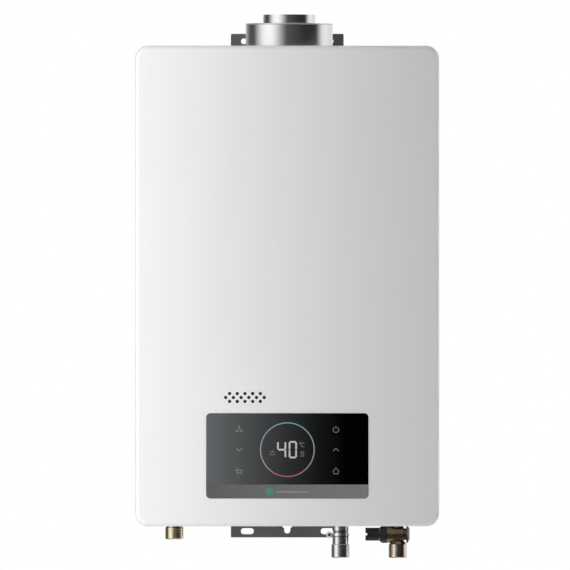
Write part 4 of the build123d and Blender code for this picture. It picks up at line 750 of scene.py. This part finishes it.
def unit_symbol(bm, x, z):
    """A degree sign and its letter."""
    ribbon(bm, circle(x, z, radius=0.9, steps=12), 0.5, closed=True)
    ribbon(bm, arc(x + 3.4, z - 2.0, radius=2.2, start=50, end=310, steps=14), FINE)


def shower_symbol(bm, x, z):
    """A shower's rose with three drops under it."""
    thin, drop_gap = 0.7, 1.6
    stroke(bm, x, z, [(-2.3, 0), (2.4, 0)], FINE)
    ribbon(bm, arc(x, z, radius=2.0, start=0, end=180, steps=10), thin)
    for i in (-1, 0, 1):
        stroke(bm, x + drop_gap * i, z, [(0, -1.4), (0, -4.2)], thin)


def flame_symbol(bm, x, z):
    """A small flame over a line."""
    stroke(bm, x, z, [(-3.4, -1.2), (3.4, -1.2)], FINE)
    ribbon(bm, arc(x, z, radius=2.3, start=20, end=160, steps=10), LINE)
    stroke(bm, x, z, [(0, 1.8), (0, 3.8)])


def fan_symbol(bm, x, z):
    """Three blades with round tips."""
    hub_r, blade_r, blade_w, tip_r = 0.8, 3.4, 1.5, 1.2
    for i in range(3):
        degrees = 90 + 120 * i
        tip = on_circle(x, z, blade_r, degrees)
        ribbon(bm, [on_circle(x, z, hub_r, degrees), tip], blade_w)
        disc(bm, *tip, tip_r)


def arrow_symbol(bm, x, z, rise):
    """An open arrow that points up or, with a negative rise, down."""
    stroke(bm, x, z, [(-3.2, -rise), (0, rise), (3.2, -rise)], BOLD)


def power_symbol(bm, x, z):
    ribbon(bm, arc(x, z, radius=3.2, start=125, end=415, steps=22), LINE)
    stroke(bm, x, z, [(0, 1.0), (0, 4.2)])


def tub_symbol(bm, x, z):
    """A bath tub with its tap, and a dot below."""
    stroke(bm, x, z, [(-4.2, 0.8), (4.2, 0.8)])
    stroke(bm, x, z, [(-3.4, 0.6), (-2.6, -2.6), (2.6, -2.6), (3.4, 0.6)])
    stroke(bm, x, z, [(-3.0, 0.8), (-3.0, 3.2), (-1.0, 3.2)], FINE)
    disc(bm, x - 0.6, z - 7.4, radius=0.7)


def house_symbol(bm, x, z):
    stroke(bm, x, z, [(-3.6, -0.4), (0, 3.4), (3.6, -0.4)])
    stroke(bm, x, z, [(-2.6, -0.2), (-2.6, -3.4), (2.6, -3.4), (2.6, -0.2)])


def dial_marks():
    """The ring of light, the number in it and the small symbols beside the number."""
    ring = bmesh.new()
    ring_x, ring_r, ring_width = 0.1, 30.7, 1.3
    ribbon(ring, circle(ring_x, DIAL_Z, ring_r, steps=144), ring_width, closed=True)
    mark("dial_ring", ring, RING_LIGHT)

    digits = bmesh.new()
    half_height, width = 8.9, 2.0
    low, high = DIAL_Z - half_height, DIAL_Z + half_height
    for left, right, lit_segments in ((-10.7, -2.2, "bcfg"), (2.6, 10.1, "abcdef")):
        segment_digit(digits, left, right, low, high, lit_segments, width)
    mark("dial_digits", digits, DIGIT_LIGHT)

    symbols = bmesh.new()
    unit_symbol(symbols, 14.6, DIAL_Z + 7.6)
    shower_symbol(symbols, 17.2, DIAL_Z - 4.0)
    flame_symbol(symbols, -17.0, DIAL_Z - 4.4)
    mark("dial_symbols", symbols, ICON_LIGHT)


def key_marks():
    """Three touch keys on each side of the dial."""
    left, right = -55.0, 55.7
    top, low = DIAL_Z + 22.9, DIAL_Z - 24.3
    arrow_rise = 1.5
    keys = bmesh.new()
    fan_symbol(keys, left, top)
    arrow_symbol(keys, left, DIAL_Z, -arrow_rise)
    arrow_symbol(keys, right, DIAL_Z, arrow_rise)
    power_symbol(keys, right, top)
    tub_symbol(keys, left, low)
    house_symbol(keys, right, low)
    mark("key_symbols", keys, ICON_LIGHT)


def status_marks():
    """A lamp and a printed bar on the panel's grey band."""
    lamp = bmesh.new()
    pill(lamp, -24.2, -15.4, PANEL_Z - 44.6, PANEL_Z - 37.4, radius=2.2)
    mark("status_lamp", lamp, LED_LIGHT)
    bar = bmesh.new()
    pill(bar, -12.6, 24.6, PANEL_Z - 42.0, PANEL_Z - 40.4, radius=0.8)
    mark("status_bar", bar, MATERIALS["mark_print"])


hot_outlet_piece()
gas_inlet_piece()
cold_inlet_pieces()
clip_hole_shade_plug()
collar_bead()
dial_marks()
key_marks()
status_marks()


# Studio, in metres

# The wall round the object: its light by bearing in degrees, as shares of its peak
WALL_PEAK = 1.3
WALL_REAR = ((-180, 0.70), (-150, 0.34), (-128, 0.07))
WALL_RIGHT = ((45, 0.022), (76, 0.024), (95, 0.72), (112, 0.82), (138, 0.66), (180, 0.70))
WALL_LIGHT = (*WALL_REAR, (-104, 0.07), (-76, 0.84), (-64, 1.0), (-48, 1.0), (-36, 0.74),
              (-20, 0.30), (-8, 0.075), *WALL_RIGHT)
LOW_WALL_LIGHT = (*WALL_REAR, (-94, 0.07), (-69, 0.84), (-60, 1.0), (-48, 1.0), (-36, 0.74),
                  (-22, 0.30), (-11, 0.06), *WALL_RIGHT)
WALL_TOP, WALL_SPLIT, WALL_FOOT = 4.5, -0.5, -5.0
WALL_R = 1.5

# The card that the glass panel mirrors, and its light from left to right
PANEL_CARD_X, PANEL_CARD_Y, PANEL_CARD_Z = (-0.106, 0.13), -1.1, (-0.531, -0.39)
PANEL_GLOW_X = (-0.10, 0.07)
PANEL_PEAK = 3.1
PANEL_TINT = (0.95, 1.01, 1.04)
PANEL_STOPS = ((0.0, 1.0), (0.2, 0.67), (0.4, 0.40), (0.6, 0.19), (0.8, 0.055), (1.0, 0.0))

OBJECT_MIDDLE = (0.0, -0.08, -0.28)
FLOOR_Z, FLOOR_REACH = -1.66, 9
FLOOR_WHITE, FLOOR_WHITE_SHARE = 1.06, 0.80
WORLD_FILL, WORLD_WHITE = 0.068, 1.0

# The camera, and the width that it sees at the depth of the object's face
LENS_MM, SENSOR_MM = 1200.0, 36.0
VIEW_WIDTH, VIEW_DEPTH = 0.6531, -0.13
CAMERA_X, CAMERA_Z = -0.0026, -0.2809
SIGHT_END = 100.0


def emitter(name, peak, stops, value, colour=(1, 1, 1)):
    """A card's material, with light by stops of (place, share of the peak) along a value."""
    mat = bpy.data.materials.new(name)
    mat.use_nodes = True
    tree = mat.node_tree
    tree.nodes.clear()
    shares = ramp(tree, value(tree), [(place, (share, share, share)) for place, share in stops])
    glow = tree.nodes.new("ShaderNodeEmission")
    glow.inputs["Color"].default_value = (*colour, 1)
    tree.links.new(arithmetic(tree, "MULTIPLY", shares, peak), glow.inputs["Strength"])
    out = tree.nodes.new("ShaderNodeOutputMaterial")
    tree.links.new(glow.outputs["Emission"], out.inputs["Surface"])
    return mat


def bearing(tree):
    """0 to 1 for a bearing from the flue of -180 to 180 degrees, 0 degrees towards the camera."""
    place = object_place(tree)
    depth = arithmetic(tree, "SUBTRACT", FLUE_Y * MM, place["Y"])
    angle = arithmetic(tree, "ARCTAN2", place["X"], depth)
    return between(tree, angle, (-math.pi, math.pi))


def over_panel(tree):
    """0 to 1 from the panel card's bright side to its dark side."""
    return between(tree, object_place(tree)["X"], PANEL_GLOW_X)


def card(name, edges, material, glossy_only=True):
    """A card or floor through pairs of points, one pair per edge across it."""
    corners = [point for edge in edges for point in edge]
    faces = [(2 * i, 2 * i + 1, 2 * i + 3, 2 * i + 2) for i in range(len(edges) - 1)]
    mesh = bpy.data.meshes.new(name)
    mesh.from_pydata(corners, [], faces)
    mesh.materials.append(material)
    obj = bpy.data.objects.new(name, mesh)
    bpy.context.scene.collection.objects.link(obj)
    if glossy_only:
        obj.visible_camera = False
        obj.visible_diffuse = False
        obj.visible_shadow = False
        obj.visible_transmission = False
    return obj


def curved(low, high, steps=48):
    """Edges of a standing card right round the flue, from behind it, between two heights."""
    edges = []
    for i in range(steps + 1):
        angle = 2 * math.pi * i / steps - math.pi
        x, y = WALL_R * math.sin(angle), FLUE_Y * MM - WALL_R * math.cos(angle)
        edges.append(((x, y, low), (x, y, high)))
    return edges


def wall(name, low, high, light):
    stops = [(0.5 + degrees / 360, share) for degrees, share in light]
    card(name, curved(low, high), emitter(name + "_light", WALL_PEAK, stops, bearing))


def panel_card():
    low, high = PANEL_CARD_Z
    edges = [((x, PANEL_CARD_Y, low), (x, PANEL_CARD_Y, high)) for x in PANEL_CARD_X]
    light = emitter("panel_light", PANEL_PEAK, PANEL_STOPS, over_panel, PANEL_TINT)
    card("card_panel", edges, light)


def floor():
    ends = (-FLOOR_REACH, FLOOR_REACH)
    edges = [[(x, y, FLOOR_Z) for x in ends] for y in ends]
    card("floor", edges, pale_floor(), glossy_only=False).visible_glossy = False


def pale_floor():
    """A matt floor that the camera sees nearly white, with the object's shadow on it."""
    mat = surface("floor_pale", colour=(0.70, 0.70, 0.70), metal=0, rough=0.6,
                  patch=(0.8, 0.01), grain=(40.0, 0.03), relief=(0.02, 0.1))
    tree = mat.node_tree
    path = tree.nodes.new("ShaderNodeLightPath")
    share = arithmetic(tree, "MULTIPLY", path.outputs["Is Camera Ray"], FLOOR_WHITE_SHARE)
    white = tree.nodes.new("ShaderNodeEmission")
    white.inputs["Strength"].default_value = FLOOR_WHITE
    matt = tree.nodes["Principled BSDF"].outputs["BSDF"]
    mixed = mix_shaders(tree, share, matt, white.outputs["Emission"])
    tree.links.new(mixed, tree.nodes["Material Output"].inputs["Surface"])
    return mat


def area_light(name, place, aim, width, height, power):
    """A lamp that neither the camera nor a mirror shows."""
    data = bpy.data.lights.new(name, "AREA")
    data.shape = "RECTANGLE"
    data.size, data.size_y = width, height
    data.energy = power
    obj = bpy.data.objects.new(name, data)
    obj.location = place
    obj.rotation_mode = "QUATERNION"
    obj.rotation_quaternion = (Vector(aim) - Vector(place)).to_track_quat("-Z", "Y")
    obj.visible_camera = False
    obj.visible_glossy = False
    bpy.context.scene.collection.objects.link(obj)


def background(tree, strength):
    node = tree.nodes.new("ShaderNodeBackground")
    node.inputs["Color"].default_value = (1, 1, 1, 1)
    node.inputs["Strength"].default_value = strength
    return node.outputs["Background"]


def surroundings():
    """A white backdrop for the camera, mirrors and glass, and a weak fill for all else."""
    world = bpy.data.worlds.new("studio")
    bpy.context.scene.world = world
    world.use_nodes = True
    tree = world.node_tree
    tree.nodes.clear()
    rays = tree.nodes.new("ShaderNodeLightPath").outputs
    seen = arithmetic(tree, "MAXIMUM", rays["Is Camera Ray"], rays["Is Transmission Ray"])
    shown = arithmetic(tree, "MAXIMUM", seen, rays["Is Glossy Ray"])
    mixed = mix_shaders(tree, shown, background(tree, WORLD_FILL), background(tree, WORLD_WHITE))
    out = tree.nodes.new("ShaderNodeOutputWorld")
    tree.links.new(mixed, out.inputs["Surface"])


def studio():
    area_light("key", place=(-0.36, -0.50, -0.27), aim=(-0.08, -0.16, -0.28),
               width=0.5, height=2.4, power=8.2)
    area_light("right_strip", place=(0.80, -0.27, -0.32), aim=OBJECT_MIDDLE,
               width=0.2, height=2.2, power=5.7)
    wall("wall", WALL_SPLIT, WALL_TOP, WALL_LIGHT)
    wall("low_wall", WALL_FOOT, WALL_SPLIT, LOW_WALL_LIGHT)
    panel_card()
    area_light("behind", place=(0.7, 1.7, 0.5), aim=OBJECT_MIDDLE,
               width=1.8, height=1.8, power=34.0)
    floor()
    surroundings()


def camera():
    data = bpy.data.cameras.new("camera")
    obj = bpy.data.objects.new("camera", data)
    bpy.context.scene.collection.objects.link(obj)
    data.lens = LENS_MM
    data.sensor_width = SENSOR_MM
    data.dof.use_dof = False
    data.clip_end = SIGHT_END
    distance = data.lens / data.sensor_width * VIEW_WIDTH
    obj.location = (CAMERA_X, VIEW_DEPTH - distance, CAMERA_Z)
    obj.rotation_euler = (math.pi / 2, 0, 0)
    bpy.context.scene.camera = obj


studio()
camera()
bpy.context.scene.view_settings.view_transform = "Standard"
